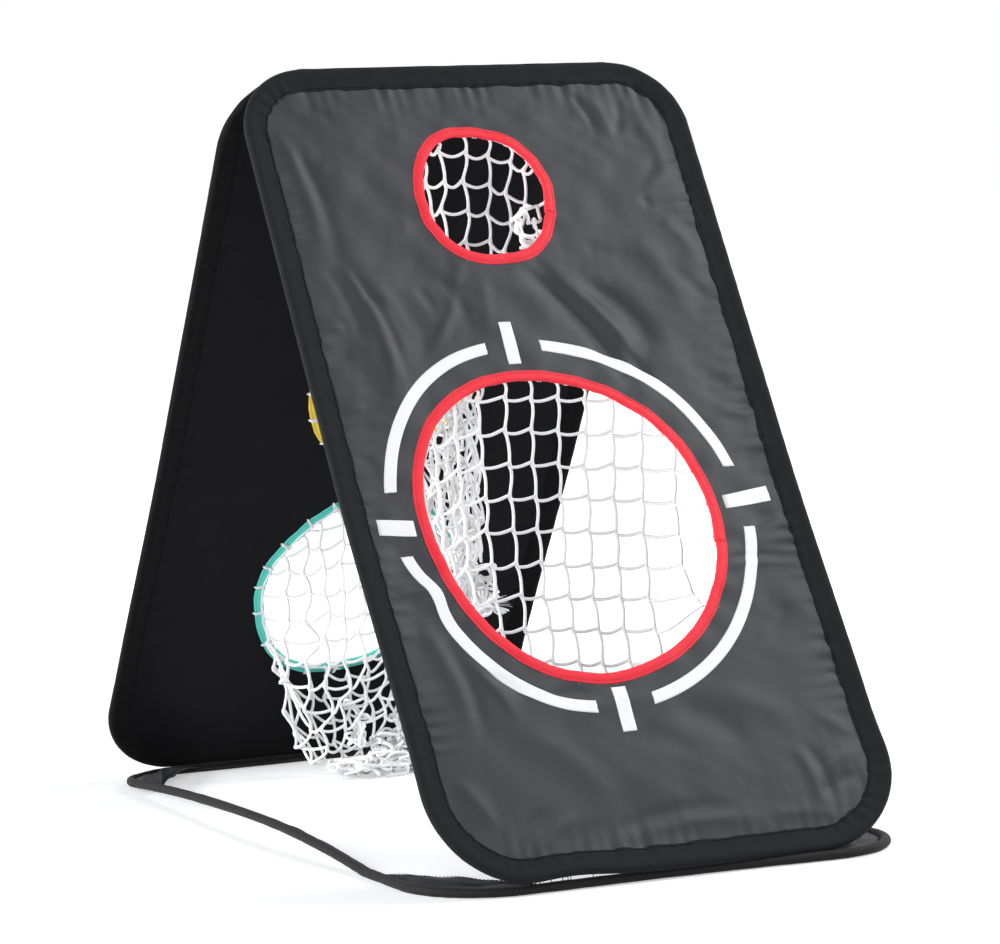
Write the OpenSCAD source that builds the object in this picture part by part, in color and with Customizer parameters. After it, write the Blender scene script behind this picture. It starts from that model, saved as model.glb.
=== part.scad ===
// Golf chipping net: three sprung hoops sewn into a folding A-frame, with four
// netted target openings. Millimetres, +X along the ridge, +Y to the back, +Z up.
// The origin is on the ground, midway between the feet.

/* [Panels] */
// Width of each hoop over its sleeve
panel_w = 515; // [512:1:640]
// Length of the front and back panels down the slope, over the sleeve
panel_l = 915; // [880:5:1020]
// Length of the ground hoop, front to back, over its sleeve
base_l = 915; // [820:5:960]
// Outer corner radius of the panels at the ridge
top_corner_r = 80; // [60:1:110]
// Outer corner radius of the panels at the foot
foot_corner_r = 105; // [60:1:120]
// Outer corner radius of the ground hoop
base_corner_r = 95; // [60:1:110]

/* [Hoop wire] */
// Diameter of the spring-steel wire
wire_d = 3.5; // [2.5:0.1:4]
// Radial clearance of the wire in its channel
wire_clear = 0.1; // [0.05:0.05:0.2]
// Outside diameter of the crimped joint ferrule
ferrule_d = 5.4; // [5:0.1:6.4]
// Length of the joint ferrule
ferrule_l = 32; // [20:1:50]

/* [Binding] */
// Diameter of the round sleeve over the wire
rim_d = 10; // [9:0.5:13]
// Width of the binding tape, from the outer edge inwards
tape_w = 26; // [22:1:34]
// Thickness of the folded tape beside the sleeve
tape_t = 3; // [2.4:0.1:4]

/* [Cloth] */
// Thickness of the target cloth
cloth_t = 0.8; // [0.5:0.1:1.2]
// Clearance on each side of the cloth inside its tapes
cloth_clear = 0.1; // [0.05:0.05:0.2]
// How far the cloth reaches in under the binding tape
cloth_tuck = 14; // [8:1:15]

/* [Target openings] */
// Radius of the small front opening inside its trim
front_upper_r = 70; // [50:1:80]
// Distance of its centre from the ridge edge
front_upper_s = 158; // [150:1:165]
// Sideways place of its centre
front_upper_x = -5; // [-15:1:15]
// Radius of the large front opening inside its trim
front_lower_r = 160; // [130:1:165]
// Distance of its centre from the ridge edge
front_lower_s = 539; // [525:1:545]
// Sideways place of its centre
front_lower_x = -7; // [-8:1:8]
// Radius of the upper back opening inside its trim
back_upper_r = 91; // [70:1:95]
// Distance of its centre from the ridge edge
back_upper_s = 401; // [380:1:405]
// Sideways place of its centre
back_upper_x = 8; // [-15:1:15]
// Radius of the lower back opening inside its trim
back_lower_r = 116; // [90:1:120]
// Distance of its centre from the ridge edge
back_lower_s = 670; // [660:1:680]
// Sideways place of its centre
back_lower_x = 4; // [-15:1:15]
// Width of the coloured trim tape
trim_w = 12; // [9:1:14]
// Thickness of the folded trim tape
trim_t = 3; // [2.4:0.1:3.4]
// How far the cloth reaches into the folded trim
trim_tuck = 9; // [6:1:9]

/* [Printed aiming mark] */
// Bare cloth between the trim and the broken ring
mark_band = 23; // [16:1:26]
// Width of the ring's stroke
mark_stroke = 12; // [8:1:14]
// Half the gap in the ring at each tick
mark_half_gap = 33; // [24:1:40]
// Bare cloth between the trim and the ticks
tick_band = 8; // [4:1:9]
// Length of a tick
tick_l = 43; // [36:1:44]
// Width of a tick
tick_w = 15; // [10:1:20]
// Thickness of the print
print_t = 0.3; // [0.2:0.1:0.5]

/* [Nets] */
// Thickness of a net's strands
net_t = 4; // [3:0.5:6]
// Width of a net's strands
strand_w = 3; // [2.5:0.5:5]
// Height of the bottom of the large front net
front_lower_low = 105; // [80:1:150]
// Height of the bottom of the small front net
front_upper_low = 548; // [520:1:570]
// Height of the bottom of the upper back net
back_upper_low = 214; // [200:1:260]
// Height of the bottom of the lower back net
back_lower_low = 13; // [12:1:40]
// Diameter of the netting cord
cord_d = 2.4; // [1.6:0.1:2.6]
// Spacing of the loops that hold a net to its trim
loop_pitch = 35; // [25:1:60]
// Diameter of the knot that closes the upper back net
knot_d = 22; // [14:1:30]

/* [Ground hoop] */
// How much of the sleeve's round underside is pressed flat on the ground
sleeve_flat = 0.3; // [0.2:0.1:0.8]
// Length of a corner gusset along the short side
gusset_x = 112; // [105:1:140]
// Length of a corner gusset along the long side
gusset_y = 126; // [105:1:160]
// Thickness of the gusset cloth
gusset_t = 1; // [0.8:0.1:2]

/* [Hinges] */
// Running gap between two sleeves that meet
hinge_gap = 0.3; // [0.2:0.1:0.8]
// Thickness of the hinge webbing
web_t = 1; // [0.6:0.1:1.2]
// Width of the seam tape along the ridge
seam_w = 4; // [3:0.5:4.5]

/* [Hidden] */
$fn = 96;

FRONT = -1;
BACK = 1;
LEFT = -1;
RIGHT = 1;
EPS = 0.01;

rim_r = rim_d / 2;
base_z = rim_r - sleeve_flat;
channel_r = wire_d / 2 + wire_clear;
ferrule_pocket_r = ferrule_d / 2 + wire_clear;
// Inner edge of the tape, measured from the middle of the sleeve
tape_reach = tape_w - rim_r;
// Where the cloth ends, measured from the middle of the sleeve
cloth_inset = tape_reach - cloth_tuck;
cloth_slot = cloth_t + 2 * cloth_clear;
panel_run = panel_l - rim_d;
base_run = base_l - rim_d;
// Two sleeves that meet stand this far from the plane between them
half_pair = rim_r + hinge_gap / 2;

// The panels lean until their feet stand on the ends of the ground hoop. The foot
// sleeve lies across the corner of the triangle, so the lean is found by repetition.
function foot_angle(lean) = (90 - lean) / 2;
function lean_step(lean) =
    asin((base_run / 2 + 2 * half_pair * sin(foot_angle(lean)) - half_pair) / panel_run);
function settle(lean, steps) = steps == 0 ? lean : settle(lean_step(lean), steps - 1);
lean = settle(30, 8);
foot_y = base_run / 2 + 2 * half_pair * sin(foot_angle(lean));
foot_z = base_z + 2 * half_pair * cos(foot_angle(lean));
ridge_z = foot_z + panel_run * cos(lean);
// The ridge hinge axis
ridge_axis_z = ridge_z - half_pair * tan(lean / 2);
// The rear hinge axis, in line with the outer faces of the back panel and ground hoop
hinge_reach = half_pair / tan(foot_angle(lean) / 2);
rear_axis_y = base_run / 2 + hinge_reach;
rear_axis_z = base_z - half_pair;

// [side, x, distance from the ridge edge, radius inside the trim]
FRONT_UPPER = [FRONT, front_upper_x, front_upper_s, front_upper_r];
FRONT_LOWER = [FRONT, front_lower_x, front_lower_s, front_lower_r];
BACK_UPPER = [BACK, back_upper_x, back_upper_s, back_upper_r];
BACK_LOWER = [BACK, back_lower_x, back_lower_s, back_lower_r];

// A net is sewn to the inner face of its trim, and hangs from it as a slack pocket:
// [opening, lowest height, narrowing at the bottom, sideways lean, push into the tent,
// openings across, openings down]
FRONT_UPPER_NET = [FRONT_UPPER, front_upper_low, 0.3, 30, 0, 5, 7];
FRONT_LOWER_NET = [FRONT_LOWER, front_lower_low, 0.12, 0, 0, 10, 12];
BACK_UPPER_NET = [BACK_UPPER, back_upper_low, 0.1, 55, 90, 10, 12];
BACK_LOWER_NET = [BACK_LOWER, back_lower_low, 0.15, 8, 0, 9, 12];

net_rim_gap = 0.3;
net_inset = trim_t / 2 + net_rim_gap;
// The net's rim lies over the inner part of the trim, and the loops over the rest
net_rim_reach = 5;
// Share of the turn, at an opening's foot, where the net itself covers the trim
net_cover = 140;
// The net's grid stops this share of its radius from the middle, at each side
NET_REACH = 0.965;
// Steps in which a net's upright slices are measured
NET_STEPS = 60;
// The least run between two edges of a strand, and the least height of an opening
NET_LEAST = 0.4;
NET_OPEN = 5;

cloth_colour = [0.33, 0.33, 0.35];
black_colour = [0.11, 0.11, 0.12];
binding_colour = [0.19, 0.20, 0.21];
red_colour = [0.95, 0.30, 0.36];
yellow_colour = [0.87, 0.76, 0.30];
teal_colour = [0.38, 0.77, 0.73];
white_colour = [0.98, 0.98, 0.99];
steel_colour = [0.62, 0.63, 0.65];

// ---- Places ----

// A point on a panel: x, distance from the ridge edge, height off the outer side
function panel_point(side, x, s, off) = [
    x,
    side * (half_pair + (s - rim_r) * sin(lean) + off * cos(lean)),
    ridge_z - (s - rim_r) * cos(lean) + off * sin(lean)
];

// Moves a flat panel into place: its sleeve's middle at the ridge is the origin,
// +Y is up the slope and +Z is the outer side
module on_panel(side) {
    translate([0, side * half_pair, ridge_z])
        mirror([0, side > 0 ? 1 : 0, 0])
            rotate([90 - lean, 0, 0])
                children();
}

// Puts a child at the centre of an opening
module at_opening(opening) {
    on_panel(opening[0])
        translate([opening[1], rim_r - opening[2], 0])
            children();
}

// The ground hoop's frame: the rear run's middle is the origin and +Y is rearwards
module on_base() {
    translate([0, base_run / 2, base_z])
        children();
}

// ---- Rounded rectangles ----

// Filled outline, inset from the line through the middle of the sleeve
module outline(length, r_top, r_foot, inset) {
    half_w = panel_w / 2 - rim_r - inset;
    top_r = r_top - rim_r - inset;
    foot_r = r_foot - rim_r - inset;
    foot_line = -(length - rim_d) + inset;
    translate([-half_w, foot_line + foot_r])
        square([2 * half_w, -inset - top_r - (foot_line + foot_r)]);
    translate([-half_w + top_r, -inset - top_r - EPS])
        square([2 * (half_w - top_r), top_r + EPS]);
    translate([-half_w + foot_r, foot_line])
        square([2 * (half_w - foot_r), foot_r + EPS]);
    for (side = [LEFT, RIGHT]) {
        translate([side * (half_w - top_r), -inset - top_r])
            circle(top_r);
        translate([side * (half_w - foot_r), foot_line + foot_r])
            circle(foot_r);
    }
}

// Carries a cross-section once round the hoop. The section's +X points outwards.
module round_hoop(length, r_top, r_foot) {
    half_w = panel_w / 2 - rim_r;
    top_r = r_top - rim_r;
    foot_r = r_foot - rim_r;
    foot_line = -(length - rim_d);
    side_run = -foot_line - top_r - foot_r;
    translate([-(half_w - top_r), 0, 0])
        rotate([90, 0, 90])
            linear_extrude(2 * (half_w - top_r)) children();
    translate([half_w - foot_r, foot_line, 0])
        rotate([90, 0, -90])
            linear_extrude(2 * (half_w - foot_r)) children();
    translate([half_w, -top_r, 0])
        rotate([90, 0, 0])
            linear_extrude(side_run) children();
    translate([-half_w, foot_line + foot_r, 0])
        rotate([90, 0, 180])
            linear_extrude(side_run) children();
    corner(half_w - top_r, -top_r, top_r, 0) children();
    corner(-(half_w - top_r), -top_r, top_r, 90) children();
    corner(-(half_w - foot_r), foot_line + foot_r, foot_r, 180) children();
    corner(half_w - foot_r, foot_line + foot_r, foot_r, 270) children();
}

module corner(x, y, r, turn) {
    translate([x, y, 0])
        rotate([0, 0, turn])
            rotate_extrude(angle = 90)
                translate([r, 0])
                    children();
}

// ---- Hoops and bindings ----

module panel_hoop() {
    round_hoop(panel_l, top_corner_r, foot_corner_r) children();
}

module base_hoop() {
    round_hoop(base_l, base_corner_r, base_corner_r) children();
}

// A crimped tube over the meeting ends of the wire, in the middle of the foot run
module ferrule(length) {
    translate([-ferrule_l / 2, -(length - rim_d), 0])
        rotate([0, 90, 0])
            difference() {
                cylinder(d = ferrule_d, h = ferrule_l);
                translate([0, 0, -EPS])
                    cylinder(r = channel_r, h = ferrule_l + 2 * EPS);
            }
}

module ferrule_pocket(length) {
    pocket_l = ferrule_l + 2 * wire_clear;
    translate([-pocket_l / 2, -(length - rim_d), 0])
        rotate([0, 90, 0])
            cylinder(r = ferrule_pocket_r, h = pocket_l);
}

// Round sleeve and flat tape folded over the edge of the cloth
module binding_section() {
    slot_reach = cloth_inset - 2 * cloth_clear;
    difference() {
        union() {
            circle(rim_r);
            translate([-tape_reach, -tape_t / 2])
                square([tape_reach, tape_t]);
        }
        circle(channel_r);
        translate([-tape_reach - EPS, -cloth_slot / 2])
            square([tape_reach - slot_reach + EPS, cloth_slot]);
    }
}

module sleeve_section() {
    difference() {
        circle(rim_r);
        circle(channel_r);
        translate([-rim_r, -rim_r - EPS])
            square([rim_d, sleeve_flat + EPS]);
    }
}

module panel_binding(side) {
    on_panel(side)
        difference() {
            panel_hoop() binding_section();
            ferrule_pocket(panel_l);
        }
}

module panel_wire(side) {
    on_panel(side)
        panel_hoop() circle(d = wire_d);
}

module panel_cloth(side, openings) {
    on_panel(side)
        linear_extrude(cloth_t, center = true)
            difference() {
                outline(panel_l, top_corner_r, foot_corner_r, cloth_inset);
                for (opening = openings)
                    translate([opening[1], rim_r - opening[2]])
                        circle(opening[3] + trim_w - trim_tuck);
            }
}

// ---- Trims, nets and loops ----

// A tape folded over the cut edge of an opening
module trim_ring(opening) {
    nose_r = trim_t / 2;
    at_opening(opening)
        rotate_extrude()
            translate([opening[3], 0])
                difference() {
                    union() {
                        translate([nose_r, 0])
                            circle(nose_r);
                        translate([nose_r, -nose_r])
                            square([trim_w - nose_r, trim_t]);
                    }
                    translate([trim_w - trim_tuck - 2 * cloth_clear, -cloth_slot / 2])
                        square([trim_w, cloth_slot]);
                }
}

// One point of a net: u is how far across the opening, from -1 to 1, and t the share of
// the way down. Each upright slice hangs between the opening's edges as a slack curve.
function net_point(net, u, t, inset) =
    let (opening = net[0],
         side = opening[0],
         r = opening[3] + net_rim_reach - inset,
         x = opening[1] + r * u,
         half = sqrt(1 - u * u),
         upper = panel_point(side, x, opening[2] - r * half, -net_inset),
         lower = panel_point(side, x, opening[2] + r * half, -net_inset),
         middle_z = (upper[2] + lower[2]) / 2,
         slack = 1 - pow(abs(u), 3),
         low_z = middle_z + (net[1] + inset - middle_z) * slack,
         pull_z = (4 * low_z - middle_z) / 3,
         b = 4 * t * (1 - t) * slack)
    [
        x - r * u * net[2] * b + net[3] * b,
        upper[1] * pow(1 - t, 2) * (1 + 2 * t) + lower[1] * t * t * (3 - 2 * t)
            - side * net[4] * b,
        upper[2] * pow(1 - t, 3) + 3 * pull_z * t * (1 - t) + lower[2] * pow(t, 3)
    ];

// Down one upright slice: [run along it from the rim, share of the way]
function slice(net, u, inset) = [
    for (i = 0, run = 0; i <= NET_STEPS;
         run = run + norm(net_point(net, u, (i + 1) / NET_STEPS, inset)
                          - net_point(net, u, i / NET_STEPS, inset)),
         i = i + 1)
        [run, i / NET_STEPS]
];

function net_r(net) = net[0][3] + net_rim_reach;
function run_of(slice) = slice[NET_STEPS][0];

// The two edges of each upright strand, closer where the net's sides turn steep
function columns(net) = [
    for (k = [0:net[5]])
        let (u = NET_REACH * (2 * k / net[5] - 1),
             half = strand_w / 2 / net_r(net) * sqrt(1 - u * u))
        each [u - half, u + half]
];

// The two edges of each level strand, as runs down the middle slice
function rows(net) =
    let (length = run_of(slice(net, 0, 0)))
    [for (k = [0:net[6]])
        let (start = (length - strand_w) * k / net[6])
        each [start, start + strand_w]];

// How far along a slice each edge of the level strands crosses it, held inside its rim
function crossings(net, u, levels, length) =
    let (fall = net_r(net) * (1 - sqrt(1 - u * u)) * cos(lean), last = len(levels) - 1)
    [for (k = [0:last])
        max(k * NET_LEAST, min(length - (last - k) * NET_LEAST, levels[k] - fall))];

// [u, length, [run at each level edge]] for each upright edge of the grid
function net_grid(net) =
    let (levels = rows(net))
    [for (u = columns(net))
        let (length = run_of(slice(net, u, 0)))
        [u, length, crossings(net, u, levels, length)]];

function net_sheet(net, inset) = [
    for (column = net_grid(net))
        let (down = slice(net, column[0], inset), stretch = run_of(down) / column[1])
        for (run = column[2])
            net_point(net, column[0], lookup(run * stretch, down), inset)
];

// Whether the net is open between two edges across, and edges k and k + 1 down
function is_open(left, right, k) =
    k % 2 == 1 && (left[2][k + 1] - left[2][k] + right[2][k + 1] - right[2][k]) / 2 > NET_OPEN;

function turned(faces) = [for (f = faces) [f[2], f[1], f[0]]];
function quad(a, b, c, d) = [[a, b, c], [a, c, d]];

// Both faces of each strand, and a wall where it meets an opening or the net's edge
function strand_faces(net) =
    let (grid = net_grid(net),
         across = len(grid) - 1,
         down = len(grid[0][2]) - 1,
         sheet = (across + 1) * (down + 1),
         open = [for (i = [0:across - 1]) [for (k = [0:down - 1])
             i % 2 == 1 && is_open(grid[i], grid[i + 1], k)]])
    [for (i = [0:across - 1]) for (k = [0:down - 1]) if (!open[i][k])
        let (a = i * (down + 1) + k, b = a + down + 1, c = b + 1, d = a + 1)
        each concat(
            quad(a, b, c, d),
            quad(a + sheet, d + sheet, c + sheet, b + sheet),
            k == 0 || open[i][k - 1] ? quad(b, a, a + sheet, b + sheet) : [],
            i == across - 1 || open[i + 1][k] ? quad(c, b, b + sheet, c + sheet) : [],
            k == down - 1 || open[i][k + 1] ? quad(d, c, c + sheet, d + sheet) : [],
            i == 0 || open[i - 1][k] ? quad(a, d, d + sheet, a + sheet) : []
        )];

module hanging_net(net) {
    faces = strand_faces(net);
    polyhedron(
        points = concat(net_sheet(net, 0), net_sheet(net, net_t)),
        faces = net[0][0] == FRONT ? turned(faces) : faces
    );
}

// Short bights of cord over the inner face of the trim, between the net and the cloth,
// all round but for the foot, where the net hangs over the trim
module net_loops(opening) {
    start = opening[3] + net_rim_reach + net_rim_gap;
    length = trim_w - net_rim_reach - net_rim_gap + cord_d / 2;
    count = floor(2 * PI * opening[3] / loop_pitch);
    at_opening(opening)
        for (i = [0:count - 1])
            let (turn = 360 * i / count)
                if (abs(turn - 270) > net_cover / 2)
                    rotate([0, 0, turn])
                        translate([start, 0, -net_inset - cord_d / 2])
                            rotate([0, 90, 0])
                                cylinder(d = cord_d, h = length, $fn = 32);
}

// The gathered end of the upper back net, just under its lowest part
module net_knot(net) {
    sheet = net_sheet(net, 0);
    low_z = min([for (p = sheet) p[2]]);
    lowest = [for (p = sheet) if (p[2] == low_z) p][0];
    translate([lowest[0], lowest[1], low_z - knot_d / 2 - net_rim_gap])
        rotate_extrude($fn = 48)
            intersection() {
                circle(d = knot_d);
                translate([0, -knot_d / 2])
                    square([knot_d / 2, knot_d]);
            }
}

// ---- Aiming mark ----

module mark_outline() {
    trim_edge = front_lower_r + trim_w;
    inner_r = trim_edge + mark_band;
    far = 2 * inner_r;
    for (turn = [0:90:270])
        rotate(turn) {
            intersection() {
                difference() {
                    circle(inner_r + mark_stroke, $fn = 180);
                    circle(inner_r, $fn = 180);
                }
                translate([mark_half_gap, mark_half_gap])
                    square(far);
            }
            translate([trim_edge + tick_band, -tick_w / 2])
                square([tick_l, tick_w]);
        }
}

// ---- Ground hoop ----

// A triangle of cloth across a corner of the ground hoop
module gusset(x_side, y_side) {
    hem = rim_r + cloth_clear;
    corner_x = panel_w / 2 - rim_r;
    corner_y = base_run / 2;
    translate([0, 0, base_z])
        linear_extrude(gusset_t, center = true)
            intersection() {
                translate([0, corner_y])
                    outline(base_l, base_corner_r, base_corner_r, hem);
                polygon([
                    [x_side * corner_x, y_side * corner_y],
                    [x_side * (corner_x - gusset_x), y_side * corner_y],
                    [x_side * corner_x, y_side * (corner_y - gusset_y)]
                ]);
            }
}

// ---- Hinges ----

// The sewn strip that lies in the valley between the two ridge sleeves
module seam_tape() {
    length = panel_w - 2 * top_corner_r;
    rise = sqrt(pow(rim_r, 2) - pow(half_pair - seam_w / 2, 2));
    translate([-length / 2, -seam_w / 2, ridge_z + rise + hinge_gap])
        cube([length, seam_w, web_t]);
}

// Where webbing starts beside a sleeve, its inner face this far below the middle
function beside_sleeve(depth) = sqrt(pow(rim_r, 2) - pow(depth, 2)) + cloth_clear;

// Webbing from the back panel's foot sleeve out to the rear hinge axis
module upper_web() {
    length = panel_w - 2 * foot_corner_r;
    start = beside_sleeve(rim_r - web_t);
    tip_gap = (web_t * (1 + sin(lean)) + hinge_gap - rear_axis_z) / cos(lean);
    on_panel(BACK)
        translate([-length / 2, -panel_run - (hinge_reach - tip_gap), rim_r - web_t])
            cube([length, hinge_reach - tip_gap - start, web_t]);
}

// Webbing from the ground hoop's rear sleeve out to the rear hinge axis
module lower_web() {
    length = panel_w - 2 * foot_corner_r;
    start = beside_sleeve(base_z - web_t);
    on_base()
        translate([-length / 2, start, -base_z])
            cube([length, hinge_reach - start - web_t, web_t]);
}

// ---- Nodes: back panel ----

module back_hoop_wire() { color(steel_colour) panel_wire(BACK); }
module back_hoop_ferrule() { color(steel_colour) on_panel(BACK) ferrule(panel_l); }
module back_binding() { color(black_colour) panel_binding(BACK); }
module back_cloth() { color(black_colour) panel_cloth(BACK, [BACK_UPPER, BACK_LOWER]); }
module back_upper_trim() { color(yellow_colour) trim_ring(BACK_UPPER); }
module back_lower_trim() { color(teal_colour) trim_ring(BACK_LOWER); }
module back_upper_net() { color(white_colour) hanging_net(BACK_UPPER_NET); }
module back_lower_net() { color(white_colour) hanging_net(BACK_LOWER_NET); }
module back_upper_net_loops() { color(white_colour) net_loops(BACK_UPPER); }
module back_lower_net_loops() { color(white_colour) net_loops(BACK_LOWER); }
module back_upper_net_knot() { color(white_colour) net_knot(BACK_UPPER_NET); }
module ridge_seam_tape() { color(black_colour) seam_tape(); }
module rear_hinge_web_upper() { color(black_colour) upper_web(); }

// ---- Nodes: front panel ----

module front_hoop_wire() { color(steel_colour) panel_wire(FRONT); }
module front_hoop_ferrule() { color(steel_colour) on_panel(FRONT) ferrule(panel_l); }
module front_binding() { color(binding_colour) panel_binding(FRONT); }
module front_cloth() { color(cloth_colour) panel_cloth(FRONT, [FRONT_UPPER, FRONT_LOWER]); }
module front_upper_trim() { color(red_colour) trim_ring(FRONT_UPPER); }
module front_lower_trim() { color(red_colour) trim_ring(FRONT_LOWER); }
module front_upper_net() { color(white_colour) hanging_net(FRONT_UPPER_NET); }
module front_lower_net() { color(white_colour) hanging_net(FRONT_LOWER_NET); }
module front_upper_net_loops() { color(white_colour) net_loops(FRONT_UPPER); }
module front_lower_net_loops() { color(white_colour) net_loops(FRONT_LOWER); }
module front_aiming_mark() {
    color(white_colour)
        at_opening(FRONT_LOWER)
            translate([0, 0, cloth_t / 2])
                linear_extrude(print_t)
                    mark_outline();
}

// ---- Nodes: ground hoop ----

module base_hoop_wire() { color(steel_colour) on_base() base_hoop() circle(d = wire_d); }
module base_hoop_ferrule() { color(steel_colour) on_base() ferrule(base_l); }
module base_sleeve() {
    color(binding_colour)
        on_base()
            difference() {
                base_hoop() sleeve_section();
                ferrule_pocket(base_l);
            }
}
module rear_hinge_web_lower() { color(black_colour) lower_web(); }
module base_gusset_front_left() { color(cloth_colour) gusset(LEFT, FRONT); }
module base_gusset_front_right() { color(cloth_colour) gusset(RIGHT, FRONT); }
module base_gusset_rear_left() { color(cloth_colour) gusset(LEFT, BACK); }
module base_gusset_rear_right() { color(cloth_colour) gusset(RIGHT, BACK); }

back_hoop_wire();
back_hoop_ferrule();
back_binding();
back_cloth();
back_upper_trim();
back_lower_trim();
back_upper_net();
back_lower_net();
back_upper_net_loops();
back_lower_net_loops();
back_upper_net_knot();
ridge_seam_tape();
rear_hinge_web_upper();
front_hoop_wire();
front_hoop_ferrule();
front_binding();
front_cloth();
front_upper_trim();
front_lower_trim();
front_upper_net();
front_lower_net();
front_upper_net_loops();
front_lower_net_loops();
front_aiming_mark();
base_hoop_wire();
base_hoop_ferrule();
base_sleeve();
rear_hinge_web_lower();
base_gusset_front_left();
base_gusset_front_right();
base_gusset_rear_left();
base_gusset_rear_right();
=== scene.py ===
"""A folding golf chipping net: two cloth target panels on sprung wire hoops, their nets,
and the ground hoop that holds their feet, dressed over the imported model."""

import math
from types import SimpleNamespace

import bpy
import numpy as np
from mathutils import Matrix, Vector


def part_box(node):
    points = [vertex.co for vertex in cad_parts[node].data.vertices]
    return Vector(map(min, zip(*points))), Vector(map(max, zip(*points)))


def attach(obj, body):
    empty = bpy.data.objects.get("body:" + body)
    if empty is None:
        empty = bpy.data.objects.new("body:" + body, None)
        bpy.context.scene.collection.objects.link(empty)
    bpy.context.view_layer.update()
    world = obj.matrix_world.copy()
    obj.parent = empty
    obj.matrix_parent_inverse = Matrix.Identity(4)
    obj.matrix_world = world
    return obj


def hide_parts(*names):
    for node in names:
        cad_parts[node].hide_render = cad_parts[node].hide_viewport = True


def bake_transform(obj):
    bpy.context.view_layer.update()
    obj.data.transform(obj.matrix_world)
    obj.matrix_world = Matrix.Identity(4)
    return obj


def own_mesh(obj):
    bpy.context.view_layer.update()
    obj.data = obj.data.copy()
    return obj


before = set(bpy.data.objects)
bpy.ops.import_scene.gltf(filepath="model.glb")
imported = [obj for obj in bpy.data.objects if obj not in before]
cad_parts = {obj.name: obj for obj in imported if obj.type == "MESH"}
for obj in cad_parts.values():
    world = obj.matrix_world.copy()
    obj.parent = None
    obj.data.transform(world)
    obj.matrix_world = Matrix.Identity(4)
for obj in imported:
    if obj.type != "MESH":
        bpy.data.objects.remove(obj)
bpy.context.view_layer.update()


# ---- Studio ----
# A wide white floor that keeps a soft shadow, a white surround, a big softbox high on the
# right, one at the left that lights the nets, a weak one in front, and a long lens.

FRONT, BACK = -1, 1
LENS_MM = 143.98
SENSOR_MM = 36.0
AIM_M = Vector((0.03989, 0.0, 0.36678))
CAMERA_DISTANCE_M = 4.30264
CAMERA_AZIMUTH = math.radians(25.514)
CAMERA_ELEVATION = math.radians(4.756)
CAMERA_ROLL = math.radians(-1.821)
FLOOR_SPAN_M = 60.0
FLOOR_DROP_M = 0.0004
FLOOR_NEAR_M = 0.75
FLOOR_FAR_M = 2.2
FLOOR_GLOW = 0.45
WORLD_LIGHT = 0.25


class Link:
    """A shader socket that takes arithmetic: each operator adds one Math node."""

    def __init__(self, recipe, socket):
        self.recipe, self.socket = recipe, socket

    def maths(self, operation, *values):
        return self.recipe.node("ShaderNodeMath", {"operation": operation}, dict(enumerate(values)))

    def __add__(self, other):
        return self.maths("ADD", self, other)

    def __sub__(self, other):
        return self.maths("SUBTRACT", self, other)

    def __rsub__(self, other):
        return self.maths("SUBTRACT", other, self)

    def __mul__(self, other):
        return self.maths("MULTIPLY", self, other)

    def __truediv__(self, other):
        return self.maths("DIVIDE", self, other)

    def __rtruediv__(self, other):
        return self.maths("DIVIDE", other, self)

    __radd__ = __add__
    __rmul__ = __mul__

    def sine(self):
        return self.maths("SINE", self)

    def clipped(self):
        return self.maths("MINIMUM", self.maths("MAXIMUM", self, 0.0), 1.0)


class Recipe:
    """The node tree of one material, or of the world."""

    def __init__(self, name, world=False):
        self.owner = (bpy.data.worlds if world else bpy.data.materials).new(name)
        self.owner.use_nodes = True
        self.tree = self.owner.node_tree
        self.tree.nodes.clear()
        self.world = world

    def node(self, kind, settings=None, values=None, out=0):
        """Adds a node: its settings first, then the values or links of its sockets."""
        made = self.tree.nodes.new(kind)
        for key, value in (settings or {}).items():
            setattr(made, key, value)
        for key, value in (values or {}).items():
            if isinstance(value, Link):
                self.tree.links.new(value.socket, made.inputs[key])
            else:
                made.inputs[key].default_value = value
        return Link(self, made.outputs[out])

    def colour_mix(self, share, low, high):
        return self.node("ShaderNodeMix", {"data_type": "RGBA"}, {0: share, 6: low, 7: high}, out=2)

    def finish(self, surface):
        kind = "ShaderNodeOutputWorld" if self.world else "ShaderNodeOutputMaterial"
        end = self.tree.nodes.new(kind)
        self.tree.links.new(surface.socket, end.inputs["Surface"])
        return self.owner


def rgba(red, green, blue):
    """A colour as it is seen on a screen, 0 to 255, as the shader's linear colour."""
    parts = [value / 255 for value in (red, green, blue)]
    linear = [v / 12.92 if v <= 0.04045 else ((v + 0.055) / 1.055) ** 2.4 for v in parts]
    return (*linear, 1.0)


def seen_directly(recipe):
    """1 for what the camera, a gloss or a clear piece sees, and 0 for light on the object."""
    paths = [recipe.node("ShaderNodeLightPath", out=name)
             for name in ("Is Camera Ray", "Is Glossy Ray", "Is Transmission Ray")]
    return (paths[0] + paths[1] + paths[2]).clipped()


def surround():
    recipe = Recipe("white_surround", world=True)
    seen = seen_directly(recipe)
    shown = recipe.node("ShaderNodeBackground", values={"Color": (1, 1, 1, 1), "Strength": 1.0})
    lighting = recipe.node("ShaderNodeBackground",
                           values={"Color": rgba(250, 252, 255), "Strength": WORLD_LIGHT})
    return recipe.finish(recipe.node("ShaderNodeMixShader", values={0: seen, 1: lighting, 2: shown}))


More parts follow.
